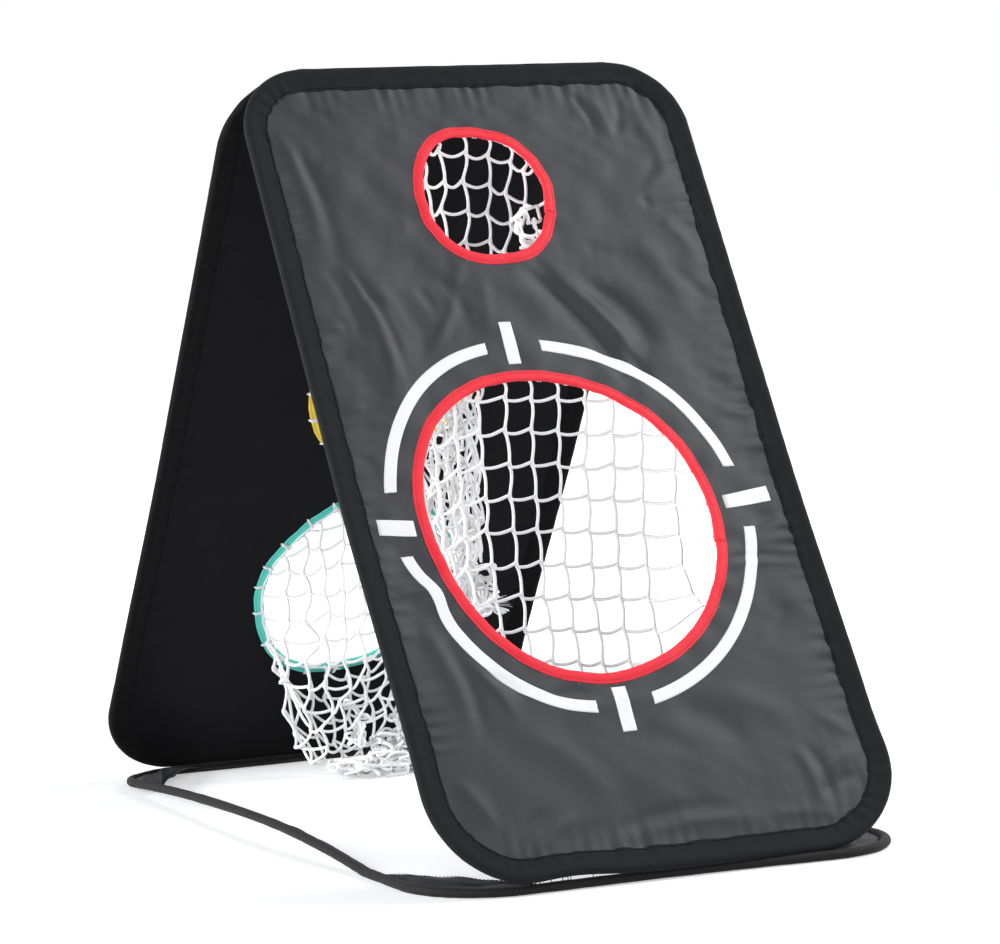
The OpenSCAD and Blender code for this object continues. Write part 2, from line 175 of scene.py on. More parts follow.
def floor_paint():
    recipe = Recipe("white_floor")
    place = recipe.node("ShaderNodeTexCoord", out="Object")
    distance = recipe.node("ShaderNodeVectorMath", {"operation": "LENGTH"}, {0: place}, out="Value")
    far = ((distance - FLOOR_NEAR_M) / (FLOOR_FAR_M - FLOOR_NEAR_M)).clipped()
    paint = recipe.node("ShaderNodeBsdfDiffuse", values={"Color": rgba(225, 226, 228)})
    near_glow, far_glow, nothing = (
        recipe.node("ShaderNodeEmission", values={"Color": (1, 1, 1, 1), "Strength": strength})
        for strength in (FLOOR_GLOW, 1.0, 0.0))
    glow = recipe.node("ShaderNodeMixShader", values={0: far, 1: near_glow, 2: far_glow})
    shown = recipe.node("ShaderNodeMixShader", values={0: seen_directly(recipe), 1: nothing, 2: glow})
    return recipe.finish(recipe.node("ShaderNodeAddShader", values={0: paint, 1: shown}))


def softbox(name, place, aim, width, power):
    lamp = bpy.data.lights.new(name, "AREA")
    lamp.shape = "SQUARE"
    lamp.size = width
    lamp.energy = power
    made = bpy.data.objects.new(name, lamp)
    made.location = place
    made.rotation_euler = (Vector(aim) - Vector(place)).to_track_quat("-Z", "Y").to_euler()
    bpy.context.scene.collection.objects.link(made)


scene = bpy.context.scene
scene.view_settings.view_transform = "Standard"
scene.world = surround()

look = Vector((math.sin(CAMERA_AZIMUTH) * math.cos(CAMERA_ELEVATION),
               math.cos(CAMERA_AZIMUTH) * math.cos(CAMERA_ELEVATION),
               -math.sin(CAMERA_ELEVATION)))
level = Vector((math.cos(CAMERA_AZIMUTH), -math.sin(CAMERA_AZIMUTH), 0))
upright = level.cross(look)
across = math.cos(CAMERA_ROLL) * level + math.sin(CAMERA_ROLL) * upright
above = math.cos(CAMERA_ROLL) * upright - math.sin(CAMERA_ROLL) * level
lens = bpy.data.cameras.new("camera")
lens.lens, lens.sensor_width = LENS_MM, SENSOR_MM
camera = bpy.data.objects.new("camera", lens)
turn = Matrix((across, above, -look)).transposed().to_4x4()
camera.matrix_world = Matrix.Translation(AIM_M - look * CAMERA_DISTANCE_M) @ turn
scene.collection.objects.link(camera)
scene.camera = camera

softbox("overhead_softbox", (2.6, -0.9, 2.5), (0, 0, 0.3), 1.2, 90.0)
softbox("left_softbox", (-3.2, 0.1, 0.9), (0, 0.1, 0.3), 1.8, 136.0)
softbox("front_softbox", (-1.5, -3.5, 0.9), (0, 0, 0.3), 1.6, 32.0)

floor_mesh = bpy.data.meshes.new("studio_floor")
reach = FLOOR_SPAN_M / 2
floor_mesh.from_pydata([(x * reach, y * reach, -FLOOR_DROP_M)
                        for x, y in ((-1, -1), (1, -1), (1, 1), (-1, 1))], [], [(0, 1, 2, 3)])
floor_mesh.materials.append(floor_paint())
studio_floor = bpy.data.objects.new("studio_floor", floor_mesh)
scene.collection.objects.link(studio_floor)


# ---- Target cloths ----
# Each panel is a coated woven polyester cloth, grey on the front and black on the back,
# sewn into the hoop and cut out round two targets. The sprung hoop stretches it, so it
# puckers along the binding and creases between the targets. Millimetres, as cut.

SLEEVE_R = 5.0
TAPE_W = 26.0
TOP_CORNER_R = {FRONT: 80.0, BACK: 91.0}
FOOT_CORNER_R = {FRONT: 105.0, BACK: 92.0}
CLOTH_STEP = {FRONT: 3.0, BACK: 5.0}
CLOTH_EDGE = 13.0
CLOTH_THICK = 0.45
CUT = "cut"
PANEL = {FRONT: "front", BACK: "back"}


def box_mm(node):
    """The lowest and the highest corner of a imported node."""
    return [np.array(corner) * 1000 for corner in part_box(node)]


front_low, front_high = box_mm("front_binding")
half_width = front_high[0]
pair_gap = SLEEVE_R - front_high[1]
ridge_z = front_high[2] - SLEEVE_R
foot_y, foot_z = -front_low[1] - SLEEVE_R, front_low[2] + SLEEVE_R
lean = math.atan2(foot_y - pair_gap, ridge_z - foot_z)
panel_length = math.hypot(foot_y - pair_gap, ridge_z - foot_z) + 2 * SLEEVE_R


def on_panel(side, x, s, off=0.0):
    """Points on a panel: across, down the slope from its ridge edge, and off its outer face."""
    x, s, off = np.broadcast_arrays(*(np.asarray(v, float) for v in (x, s, off)))
    y = side * (pair_gap + (s - SLEEVE_R) * math.sin(lean) + off * math.cos(lean))
    z = ridge_z - (s - SLEEVE_R) * math.cos(lean) + off * math.sin(lean)
    return np.stack([x, y, z], axis=-1)


def outward(side):
    return np.array([0, side * math.cos(lean), math.sin(lean)])


def eased(t):
    return t * t * (3 - 2 * t)


def smooth(low, high, value):
    return eased(np.clip((value - low) / (high - low), 0, 1))


def ripple(x, s, wavelength, seed, stretch=1.0, waves=9):
    """Smooth unrepeating noise, about -1 to 1. stretch lengthens it down the slope."""
    draw = np.random.default_rng(seed)
    total = np.zeros(np.broadcast(x, s).shape)
    for _ in range(waves):
        angle = draw.uniform(0, 2 * math.pi)
        pace = 2 * math.pi / (wavelength * draw.uniform(0.65, 1.5))
        total += np.cos(pace * (x * math.cos(angle) + s * math.sin(angle) / stretch)
                        + draw.uniform(0, 2 * math.pi))
    return total / math.sqrt(waves)


# How far each panel's foot and ridge are pushed sideways
FOOT_DRIFT = {FRONT: 7.0, BACK: -7.0}
RIDGE_DRIFT = {FRONT: 0.0, BACK: 3.5}
CORNER_PULL = {FRONT: 6.0, BACK: 2.0}


def drift(side, x, s):
    """How far the cloth lies to the side. One foot corner of each panel is pulled out too."""
    pulled = CORNER_PULL[side] * smooth(60, half_width, side * -x) * smooth(760, 860, s)
    return (FOOT_DRIFT[side] * smooth(470, 800, s) + RIDGE_DRIFT[side] * smooth(560, 60, s)
            - side * pulled)


def edge_distance(side, x, s):
    """How far inside the hoop's outer edge a point lies."""
    corner = np.where(s < panel_length / 2, TOP_CORNER_R[side], FOOT_CORNER_R[side])
    from_side = np.abs(x - drift(side, x, s)) - (half_width - corner)
    from_end = np.abs(s - panel_length / 2) - (panel_length / 2 - corner)
    outside = np.hypot(np.maximum(from_side, 0), np.maximum(from_end, 0))
    return corner - outside - np.minimum(np.maximum(from_side, from_end), 0)


# Each opening: side, centre across and down, radius inside its trim, and how far the
# sewn trim is pulled out of round at each hour of the clock
TRIM_W = 12.0
OPENINGS = {
    "front_upper": (FRONT, -5, 158, 70, (1, 1, 0, -3, -3, 1, 0, 4, 3, 0, 1, 5)),
    "front_lower": (FRONT, -7, 539, 160, (2, -2, -4, -6, -4, -1, 4, 6, -2, -2, 8, 11)),
    "back_upper": (BACK, 8, 401, 91, (0, -1, 1, 2, 0, -2, 0, 1, -1, -2, 1, 2)),
    "back_lower": (BACK, 4, 670, 116, (-5, 0, 2, 1, -1, 0, -1, 1, -9, -12, -16, -13)),
}


def hourly(values, angle):
    """A smooth closed curve through twelve values, one for each hour."""
    count = len(values)
    terms = np.fft.rfft(np.array(values, float)) / count
    total = np.full(np.shape(angle), terms[0].real)
    for k in range(1, len(terms)):
        share = 1 if 2 * k == count else 2
        total = total + share * (terms[k] * np.exp(1j * k * np.asarray(angle))).real
    return total


def rim(opening, angle, out=0.0):
    """Across and down of a point on an opening's rim, out from its inner edge. 0 is up."""
    _, x, s, radius, pulled = OPENINGS[opening]
    r = radius + hourly(pulled, angle) + out
    return x + r * np.sin(angle), s - r * np.cos(angle)


def beyond_rim(opening, x, s):
    """How far outside an opening's inner edge a point lies, and the hour angle it is at."""
    _, centre_x, centre_s, radius, pulled = OPENINGS[opening]
    angle = np.arctan2(x - centre_x, centre_s - s)
    return np.hypot(x - centre_x, s - centre_s) - radius - hourly(pulled, angle), angle


# Creases: start across and down, end across and down, half width, height
CREASES = {
    FRONT: (
        # The two long folds that run from the small target to the large one
        (10, 236, 102, 404, 11, -4.2), (40, 248, 116, 370, 13, 5.6), (80, 262, 144, 350, 13, -3.6),
        (18, 226, 52, 270, 7, -2.0), (66, 300, 138, 420, 6, -1.6),
        # The fan of folds below the small target, to the left
        (-192, 228, -156, 384, 5, 2.0), (-182, 232, -148, 372, 5, -1.7), (-168, 246, -126, 330, 8, 1.3),
        (-208, 232, -186, 330, 6, -1.4), (-172, 300, -166, 384, 4, 1.8), (-178, 268, -150, 282, 5, -1.4),
        (-112, 262, -98, 292, 6, -1.8), (-66, 262, -120, 340, 7, 2.2), (-52, 236, -78, 262, 7, 2.2),
        (-84, 246, -62, 318, 8, -1.6), (-38, 246, -52, 330, 8, 1.2),
        # Top left, top right and the dent beside the small target
        (-228, 60, -206, 226, 8, 2.6), (-212, 76, -190, 238, 8, -2.0), (-196, 40, -150, 70, 7, -1.5),
        (-160, 30, -134, 50, 5, -1.6), (126, 34, 146, 92, 4, -1.8), (140, 30, 164, 104, 7, 1.9),
        (184, 36, 160, 100, 6, -1.8), (196, 60, 214, 140, 9, 1.8), (206, 110, 186, 150, 8, -0.9),
        (172, 168, 188, 180, 4, -1.2), (182, 164, 174, 186, 4, -0.6), (184, 166, 226, 126, 8, 1.4),
        (190, 190, 226, 258, 9, 1.8), (176, 250, 226, 300, 9, -1.6), (150, 210, 196, 330, 12, 1.4),
        # Beside the large target, right
        (188, 420, 240, 442, 6, 1.8), (196, 492, 240, 478, 5, -1.9), (190, 560, 236, 540, 5, -1.8),
        (96, 602, 244, 597, 4, -1.6), (110, 608, 240, 604, 4, 1.4), (176, 690, 214, 640, 9, -1.5),
        # Below the large target
        (166, 800, 176, 890, 7, 2.4), (180, 800, 190, 876, 7, -2.2), (196, 770, 238, 800, 7, 1.6),
        (176, 838, 244, 812, 7, 1.6), (172, 858, 240, 838, 6, -1.8), (40, 742, 120, 796, 17, -3.0),
        (-10, 768, 60, 800, 14, -1.6), (-70, 744, 40, 736, 12, 1.8), (100, 736, 176, 778, 14, 2.0),
        (-66, 872, 92, 858, 8, -2.0), (-60, 884, 104, 874, 7, 1.8), (110, 872, 210, 888, 7, 1.6),
        (-120, 760, -40, 846, 14, 1.4),
        # Lower left
        (-206, 626, -178, 752, 10, 2.6), (-186, 650, -168, 770, 8, -2.0), (-168, 676, -128, 744, 7, 2.2),
        (-150, 690, -110, 726, 6, -3.2), (-100, 724, -24, 728, 6, -1.8), (-232, 602, -170, 601, 4, 1.6),
        (-150, 892, -92, 846, 6, 2.2), (-172, 880, -120, 838, 6, -1.8), (-120, 896, -74, 858, 5, -1.6),
        (-214, 800, -180, 856, 8, 1.8), (-232, 300, -204, 306, 5, 1.8), (-232, 344, -200, 336, 6, -1.8),
        (-230, 400, -204, 392, 5, 1.5), (-230, 452, -206, 458, 5, -1.5),
        (88, 150, 214, 120, 14, 1.0), (70, 214, 200, 250, 16, 1.0), (-96, 190, -190, 214, 13, 1.0),
        # The broad swelling along the left edge
        (-178, 176, -172, 470, 24, 3.4),
    ),
    BACK: (
        (-150, 60, -128, 330, 12, 1.6), (-176, 90, -160, 380, 10, -1.5), (-96, 40, -88, 280, 12, -1.2),
        (40, 60, 64, 300, 13, 1.5), (112, 50, 108, 330, 12, -1.4), (168, 110, 150, 420, 12, 1.3),
        (-130, 470, -120, 640, 9, 1.4), (-186, 440, -150, 820, 11, -1.2), (118, 470, 132, 620, 10, 1.4),
        (150, 560, 188, 820, 12, -1.2), (-70, 800, -150, 880, 9, 1.3), (84, 790, 150, 874, 10, -1.3),
        (-10, 506, 6, 556, 8, 1.2),
    ),
}


def crease(x, s, start_x, start_s, end_x, end_s, half, height):
    run_x, run_s = end_x - start_x, end_s - start_s
    length = math.hypot(run_x, run_s)
    along = ((x - start_x) * run_x + (s - start_s) * run_s) / length ** 2
    bow = 0.06 * length * np.sin(np.clip(along, 0, 1) * math.pi)
    aside = ((x - start_x) * run_s - (s - start_s) * run_x) / length - bow
    fade = smooth(-0.06, 0.3, along) * smooth(1.06, 0.62, along)
    return height * fade * np.exp(-(aside / half) ** 2)


# The long folds come first in each panel's creases, and the rest lie a little flatter
LONG_FOLDS = 3
FLATTER = 0.75
# The cloth is stretched, so it never dips or rises further than this
DEEPEST, HIGHEST = -4.4, 6.0


def drape(side, x, s):
    """How far the cloth stands off its panel's middle plane, outwards."""
    x, s = np.broadcast_arrays(np.asarray(x, float), np.asarray(s, float))
    inside = edge_distance(side, x, s) - TAPE_W
    seed = 20 + side
    calm = 1 - 0.6 * smooth(560, 740, s)
    rise = 1.2 * ripple(x, s, 190, seed, 1.6) + 0.5 * calm * ripple(x, s, 58, seed + 5, 1.2, 18)
    patchy = calm * (0.4 + 0.6 * smooth(-0.6, 0.9, ripple(x, s, 150, seed + 3)))
    rise = rise + 0.2 * patchy * ripple(x, s, 24, seed + 9, 1.2, 16)
    for number, fold in enumerate(CREASES[side]):
        rise = rise + (1 if number < LONG_FOLDS else FLATTER) * crease(x, s, *fold)
    # Puckers run in from the binding, and out from each sewn trim
    around = np.where(np.abs(x) * 1.6 > np.abs(s - panel_length / 2), s, x)
    strong = 0.35 + 0.65 * smooth(-0.5, 0.8, ripple(x, s, 120, seed + 2))
    pucker = 1.15 * strong * ripple(around, 0 * s, 17, seed + 13) * smooth(-14, 1, inside)
    rise = rise * smooth(-16, 26, inside) + pucker * np.exp(-np.maximum(inside, 0) / 16)
    for name, (panel, _, _, radius, _) in OPENINGS.items():
        if panel == side:
            gap, angle = beyond_rim(name, x, s)
            gap = np.maximum(gap - TRIM_W, 0)
            folds = np.sin(angle * round(radius / 6.5) + 1.7 * np.sin(angle * 3 + seed))
            rise = rise * (0.45 + 0.55 * smooth(0, 20, gap)) + 0.5 * folds * np.exp(-gap / 10)
    return np.clip(rise, DEEPEST, HIGHEST)


def piece(name, points, faces, material, body, cut=None):
    """A mesh from points in millimetres, riding on a body. cut is each point's place as cut."""
    mesh = bpy.data.meshes.new(name)
    mesh.from_pydata((np.asarray(points, float).reshape(-1, 3) / 1000).tolist(), [],
                     [tuple(f) for f in faces])
    if cut is not None:
        layer = mesh.uv_layers.new(name=CUT)
        corners = np.empty(len(mesh.loops), int)
        mesh.loops.foreach_get("vertex_index", corners)
        layer.data.foreach_set("uv", (np.reshape(cut, (-1, 2))[corners] / 1000).ravel())
    mesh.polygons.foreach_set("use_smooth", [True] * len(mesh.polygons))
    mesh.materials.append(material)
    mesh.validate()
    made = bpy.data.objects.new(name, mesh)
    scene.collection.objects.link(made)
    if body:
        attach(made, body)
    return made


def grid_quads(rows, columns):
    """The corner numbers of each cell in a grid of points."""
    number = np.arange(rows * columns).reshape(rows, columns)
    return np.stack([number[:-1, :-1], number[:-1, 1:], number[1:, 1:], number[1:, :-1]], -1)


def thicken(made, name, millimetres):
    shell = made.modifiers.new(name, "SOLIDIFY")
    shell.thickness = millimetres / 1000
    shell.offset = 0


def noise(recipe, place, scale, detail, rough=0.5, dimensions="2D"):
    return recipe.node("ShaderNodeTexNoise", {"noise_dimensions": dimensions},
                       {"Vector": place, "Scale": scale, "Detail": detail, "Roughness": rough})


def bumps(recipe, strength, depth, height):
    return recipe.node("ShaderNodeBump", values={
        "Strength": strength, "Distance": depth / 1000, "Height": height})


def finished(recipe, values):
    """The material whose surface has these values."""
    return recipe.finish(recipe.node("ShaderNodeBsdfPrincipled", values=values))


def woven(name, colour, worn, thread=0.8, rough=0.62, sheen=0.15, relief=0.25, gloss=0.35):
    """A plain weave: crossed threads, cloudy dye, slubs, and a coated or dry surface."""
    recipe = Recipe(name)
    place = recipe.node("ShaderNodeUVMap", {"uv_map": CUT})
    pace = 2 * math.pi / (thread / 1000)
    warp, weft = (recipe.node("ShaderNodeSeparateXYZ", values={0: place}, out=axis) * pace
                  for axis in (0, 1))
    threads = warp.sine() * weft.sine()
    slubs = noise(recipe, place, 900.0, 2.0)
    clouds = noise(recipe, place, 14.0, 4.0, 0.6)
    shade = (clouds * 0.7 + slubs * 0.3 + threads * 0.06).clipped()
    return finished(recipe, {
        "Base Color": recipe.colour_mix(shade, rgba(*colour), rgba(*worn)),
        "Roughness": rough + (clouds - 0.5) * 0.12,
        "Normal": bumps(recipe, relief, 0.4, threads * 0.5 + slubs * 0.8),
        "Specular IOR Level": gloss, "Sheen Weight": sheen, "Sheen Roughness": 0.45})


def target_cloth(side, material):
    step, word = CLOTH_STEP[side], PANEL[side]
    x, s = np.meshgrid(np.arange(-half_width, half_width + 1, step),
                       np.arange(0, panel_length + 1, step))
    x = x + drift(side, x, s)
    keep = edge_distance(side, x, s) > CLOTH_EDGE
    for opening in OPENINGS:
        if OPENINGS[opening][0] == side:
            keep &= beyond_rim(opening, x, s)[0] > TRIM_W * 0.3
    whole = keep[:-1, :-1] & keep[1:, :-1] & keep[:-1, 1:] & keep[1:, 1:]
    used, quads = np.unique(grid_quads(*x.shape)[whole], return_inverse=True)
    quads = quads.reshape(-1, 4)[:, ::-side]
    x, s = x.ravel()[used], s.ravel()[used]
    made = piece(f"{word}_target_cloth", on_panel(side, x, s, drape(side, x, s)), quads, material,
                 f"{word}_panel", np.stack([x, s], -1))
    thicken(made, "cloth_thickness", CLOTH_THICK)
    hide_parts(f"{word}_cloth")


grey_cloth = woven("coated_grey_cloth", (48, 49, 53), (60, 61, 66), rough=0.42, sheen=0.04, gloss=0.2)
black_cloth = woven("coated_black_cloth", (16, 16, 18), (25, 25, 28), rough=0.55, sheen=0.02, gloss=0.06)
target_cloth(FRONT, grey_cloth)
target_cloth(BACK, black_cloth)


# ---- Panel hoops and bindings ----
# Each cloth's edge is folded into a woven polyester tape, sewn through with one row of
# lockstitch. The tape's outer part is a round sleeve over the sprung steel wire.

WIRE_R = 1.75
HOOP_STEP = 4.0
TAPE_DEEPEST = -SLEEVE_R - 0.1
TAPE_CUT_STEP = 2.4
STITCH = 3.2
STITCH_PITCH = 4.4
STITCH_INSET = 2.6
STITCH_OFF = 1.2
THREAD_R = 0.42
PLEAT_SEED = {FRONT: 24, BACK: 34}
# The front hoop's foot bows up this far, at this place across, over this half width
FOOT_BOW = 5.5
FOOT_BOW_X = -118
FOOT_BOW_HALF = 52


def hoop_path(half, top, foot, top_radius, foot_radius):
    """Points and outward directions round a rounded rectangle, from the middle of its foot."""
    corners = ((half - foot_radius, foot - foot_radius, foot_radius, 90),
               (half - top_radius, top + top_radius, top_radius, 0),
               (-half + top_radius, top + top_radius, top_radius, -90),
               (-half + foot_radius, foot - foot_radius, foot_radius, -180))
    points, normals, last = [], [], np.array([0.0, foot])

    def straight(end, way):
        count = max(2, round(np.linalg.norm(end - last) / HOOP_STEP))
        points.extend(last + (end - last) * k / count for k in range(count))
        normals.extend([way] * count)

    for x, s, radius, start in corners:
        count = max(8, round(radius * math.pi / 2 / HOOP_STEP))
        angles = np.radians(start - 90 * np.arange(count + 1) / count)
        turns = np.stack([np.cos(angles), np.sin(angles)], -1)
        arc = np.array([x, s]) + radius * turns
        straight(arc[0], turns[0])
        points.extend(arc[:-1])
        normals.extend(turns[:-1])
        last = arc[-1]
    straight(np.array([0.0, foot]), np.array([0.0, 1.0]))
    return np.array(points), np.array(normals)


def panel_hoop(side):
    """The path of a panel's wire before it is bent, and its outward directions."""
    return hoop_path(half_width - SLEEVE_R, SLEEVE_R, panel_length - SLEEVE_R,
                     TOP_CORNER_R[side] - SLEEVE_R, FOOT_CORNER_R[side] - SLEEVE_R)


def foot_bow(side, x, s):
    """How far the front hoop's foot bows up off the ground hoop, left of its middle."""
    bow = FOOT_BOW * np.exp(-((x - FOOT_BOW_X) / FOOT_BOW_HALF) ** 2)
    bow = bow * smooth(panel_length - 60, panel_length - 6, s)
    return bow if side == FRONT else 0 * bow


def bent(side, x, s):
    """Where a point beside the wire lies once the hoop is pushed out of true."""
    s = s - foot_bow(side, x, s)
    return x + drift(side, x, s), s


def closed_quads(stations, around, wrap=True):
    """Quads of a swept section; wrap joins the last station to the first."""
    rows = np.arange(stations if wrap else stations - 1)[:, None]
    cols = np.arange(around)[None, :]
    ahead, beside = (rows + 1) % stations, (cols + 1) % around
    return np.stack([rows * around + cols, rows * around + beside,
                     ahead * around + beside, ahead * around + cols], -1).reshape(-1, 4)


def capped(stations, around, first=0):
    """Faces of a section swept along an open run, with one face over each end."""
    ends = first + np.arange(around)
    sides = closed_quads(stations, around, wrap=False) + first
    return sides.tolist() + [ends[::-1].tolist(), (ends + around * (stations - 1)).tolist()]


def swept_cut(reach, around, pitch):
    """Each swept point's place as cut: along the run, and round its section."""
    return np.stack(np.meshgrid(reach, np.arange(around) * pitch, indexing="ij"), -1)


def run_length(points, closed=True):
    ends = np.roll(points, -1, 0) if closed else np.concatenate([points[1:], points[-1:]])
    steps = np.linalg.norm(ends - points, axis=1)
    return np.concatenate([[0], np.cumsum(steps)[:-1]]), steps.sum()


def part_way(where, reach, points):
    """Points at these distances along a run whose own points lie at reach."""
    return np.stack([np.interp(where, reach, values) for values in points.T], -1)


def unit(vectors):
    return vectors / (np.linalg.norm(vectors, axis=-1, keepdims=True) + 1e-9)


def wavy(reach, wavelength, seed, waves=9):
    """Ripple along a run."""
    return ripple(reach, 0 * reach, wavelength, seed, 1, waves)


def tape_section():
    """The tape and its sleeve: place out from the wire, and height off the middle plane."""
    reach_in = TAPE_W - SLEEVE_R
    upper = [(-reach_in + 0.1, 0.5), (-reach_in + 0.7, 1.2), (-reach_in + 1.6, 1.4),
             (-reach_in + 2.6, 1.1), (-reach_in + 3.8, 1.5), (-15, 1.9), (-12, 2.4), (-9, 3.05),
             (-6.5, 3.7), (-4.2, 4.3), (-2, 4.8)]
    turns = np.radians(np.arange(90, -91, -18))
    sleeve = [(SLEEVE_R * math.cos(a), SLEEVE_R * math.sin(a)) for a in turns]
    lower = [(a, -b) for a, b in reversed(upper)]
    return np.array(upper + sleeve + lower)


def corner_pleats(side, reach, normal):
    """Small pleats across the tape, only where it turns a corner, and how far each stands up."""
    pleat = np.abs(2 * normal[:, 0] * normal[:, 1]) * wavy(reach, 14, PLEAT_SEED[side], 12)
    return pleat, np.maximum(1.2 * pleat, -0.3)


def panel_tape(side, material, seed):
    path, normal = panel_hoop(side)
    place, height = tape_section().T
    reach, _ = run_length(path)
    fray = 0.7 * wavy(reach, 34, seed) + 0.35 * wavy(reach, 11, seed + 1)
    slack = 0.12 * wavy(reach, 23, seed + 2)
    pleat, rise = corner_pleats(side, reach, normal)
    out = place + smooth(-5, -18, place) * (fray + 1.1 * pleat)[:, None]
    high = (height * (1 + slack[:, None] * 0.6)
            + np.sign(height) * smooth(2, -12, place) * rise[:, None])
    x, s = bent(side, path[:, :1] + normal[:, :1] * out, path[:, 1:] + normal[:, 1:] * out)
    off = high + drape(side, x, s) * smooth(-6, -19, place)
    # The other panel's tape presses on the inner face when the net is folded
    points = on_panel(side, x, s, np.maximum(off, TAPE_DEEPEST))
    made = piece(f"{PANEL[side]}_binding_tape", points, closed_quads(len(path), len(place)),
                 material, f"{PANEL[side]}_panel", swept_cut(reach, len(place), TAPE_CUT_STEP))
    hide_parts(f"{PANEL[side]}_binding")


def stitch_row(name, points, normals, material, body, slot, pitch=STITCH_PITCH, length=STITCH,
               radius=THREAD_R, closed=True):
    """A row of lockstitch along points, each stitch a short thread that dips at its ends."""
    reach, total = run_length(points, closed)
    if closed:
        points = np.concatenate([points, points[:1]])
        normals = np.concatenate([normals, normals[:1]])
        reach = np.append(reach, total)
    starts = np.arange(0, total - pitch, pitch)
    first, last = part_way(starts, reach, points), part_way(starts + length, reach, points)
    up = part_way(starts + length / 2, reach, normals)
    ahead = last - first
    aside = unit(np.cross(ahead, up))
    # Each ring of a stitch: how far along it lies, its rise and its width
    rings = ((0, -0.5, 0.5), (0.2, 0.25, 0.9), (0.5, 0.55, 1), (0.8, 0.25, 0.9), (1, -0.5, 0.5))
    around = 6
    turns = 2 * math.pi * np.arange(around) / around
    shape = np.stack([first + ahead * t + radius * (up * (rise + width * math.sin(turn))
                                                    + aside * width * math.cos(turn))
                      for t, rise, width in rings for turn in turns], 1)
    single = capped(len(rings), around)
    size = around * len(rings)
    faces = [[v + size * k for v in face] for k in range(len(starts)) for face in single]
    return piece(name, shape, faces, material, body)


def stitch_both_faces(name, side, x, s, base, off, material, slot, **sizes):
    """The same row of stitches on the outer and on the inner face of a panel's tape."""
    for face, sign in (("outer", 1), ("inner", -1)):
        line = on_panel(side, x, s, base + sign * off)
        ups = np.broadcast_to(outward(side) * sign, line.shape)
        stitch_row(f"{name}_{face}", line, ups, material, f"{PANEL[side]}_panel", slot, **sizes)


def tape_stitches(side, slot):
    path, normal = panel_hoop(side)
    inset = STITCH_INSET - (TAPE_W - SLEEVE_R)
    x, s = bent(side, *(path + normal * inset).T)
    base = drape(side, x, s) * smooth(-6, -19, inset)
    _, rise = corner_pleats(side, run_length(path)[0], normal)
    stitch_both_faces(f"{PANEL[side]}_binding_stitches", side, x, s, base, STITCH_OFF + rise,
                      black_thread, slot)


def spring_wire(name, points, body, node, around=8):
    """A closed wire through points, drawn straight and sprung into its hoop."""
    ahead = unit(np.roll(points, -1, 0) - np.roll(points, 1, 0))
    aside = unit(np.cross(ahead, points.mean(0) - points))
    up = np.cross(aside, ahead)
    turns = 2 * math.pi * np.arange(around)[:, None] / around
    shape = points[:, None] + WIRE_R * (up[:, None] * np.cos(turns) + aside[:, None] * np.sin(turns))
    made = piece(name, shape, closed_quads(len(points), around), steel, body)
    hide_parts(node)


def thread_finish(name, colour, sheen=0.3):
    """Twisted sewing thread: two plies wound round each other."""
    recipe = Recipe(name)
    place = recipe.node("ShaderNodeTexCoord", out="Object")
    twist = recipe.node("ShaderNodeTexWave", {"wave_type": "BANDS", "bands_direction": "DIAGONAL"},
                        {"Vector": place, "Scale": 420.0, "Distortion": 1.5})
    shaded = tuple(c * 0.7 for c in rgba(*colour)[:3]) + (1,)
    return finished(recipe, {
        "Base Color": recipe.colour_mix(twist, shaded, rgba(*colour)), "Roughness": 0.7,
        "Normal": bumps(recipe, 0.4, 0.3, twist), "Sheen Weight": sheen, "Specular IOR Level": sheen})


def spring_steel():
    recipe = Recipe("drawn_spring_steel")
    drawn = noise(recipe, recipe.node("ShaderNodeTexCoord", out="Object"), 260.0, 3.0, dimensions="3D")
    return finished(recipe, {
        "Base Color": recipe.colour_mix(drawn, rgba(140, 142, 146), rgba(176, 178, 182)),
        "Metallic": 1.0, "Roughness": 0.28 + drawn * 0.2})


charcoal_tape = woven("charcoal_binding_tape", (21, 22, 23), (33, 34, 36), thread=1.1, rough=0.7,
                      sheen=0.04, relief=0.4, gloss=0.1)
black_tape = woven("black_binding_tape", (14, 14, 15), (23, 23, 25), thread=1.1, rough=0.7,
                   sheen=0.03, relief=0.4, gloss=0.06)
black_thread = thread_finish("black_sewing_thread", (20, 20, 22), sheen=0.02)
steel = spring_steel()
panel_tape(FRONT, charcoal_tape, 41)
panel_tape(BACK, black_tape, 57)
tape_stitches(FRONT, "front_binding_tape")
tape_stitches(BACK, "black_binding_tape")
for side, word in PANEL.items():
    spring_wire(f"{word}_spring_wire", on_panel(side, *bent(side, *panel_hoop(side)[0].T)),
                f"{word}_panel", f"{word}_hoop_wire")


# ---- Trims round the targets ----
# A bright grosgrain tape is folded over the raw edge of each opening, sewn near its
# outer edge, and lapped over its own start.

LAP_TURN = math.radians(7)
TRIM_STEP = 2.6
TRIM_CUT_STEP = 1.2
TRIM_RIB_M = 0.0009
TRIM_STITCH_OUT = 9.3
TRIM_STITCH_OFF = 1.25
TRIM_STITCH = dict(pitch=3.4, length=2.5, radius=0.34)
# One face of the folded tape: out from the opening's edge, and off its middle plane
TRIM_FACE = ((0.0, 0.0), (0.25, 0.9), (1.0, 1.7), (2.3, 2.25), (4.2, 2.45), (6.4, 2.2), (8.4, 1.65),
             (9.2, 1.1), (10.2, 1.3), (11.5, 1.1), (12.0, 0.5))
# Each colour: the tape, a lighter painted highlight that cloudy noise and the ribs mix into it, and its
# thread
TRIM_COLOURS = {
    "red": ((244, 42, 56), (253, 72, 86), (205, 44, 56)),
    "yellow": ((238, 202, 58), (252, 220, 92), (220, 186, 60)),
    "teal": ((84, 208, 194), (112, 228, 216), (72, 176, 166)),
}


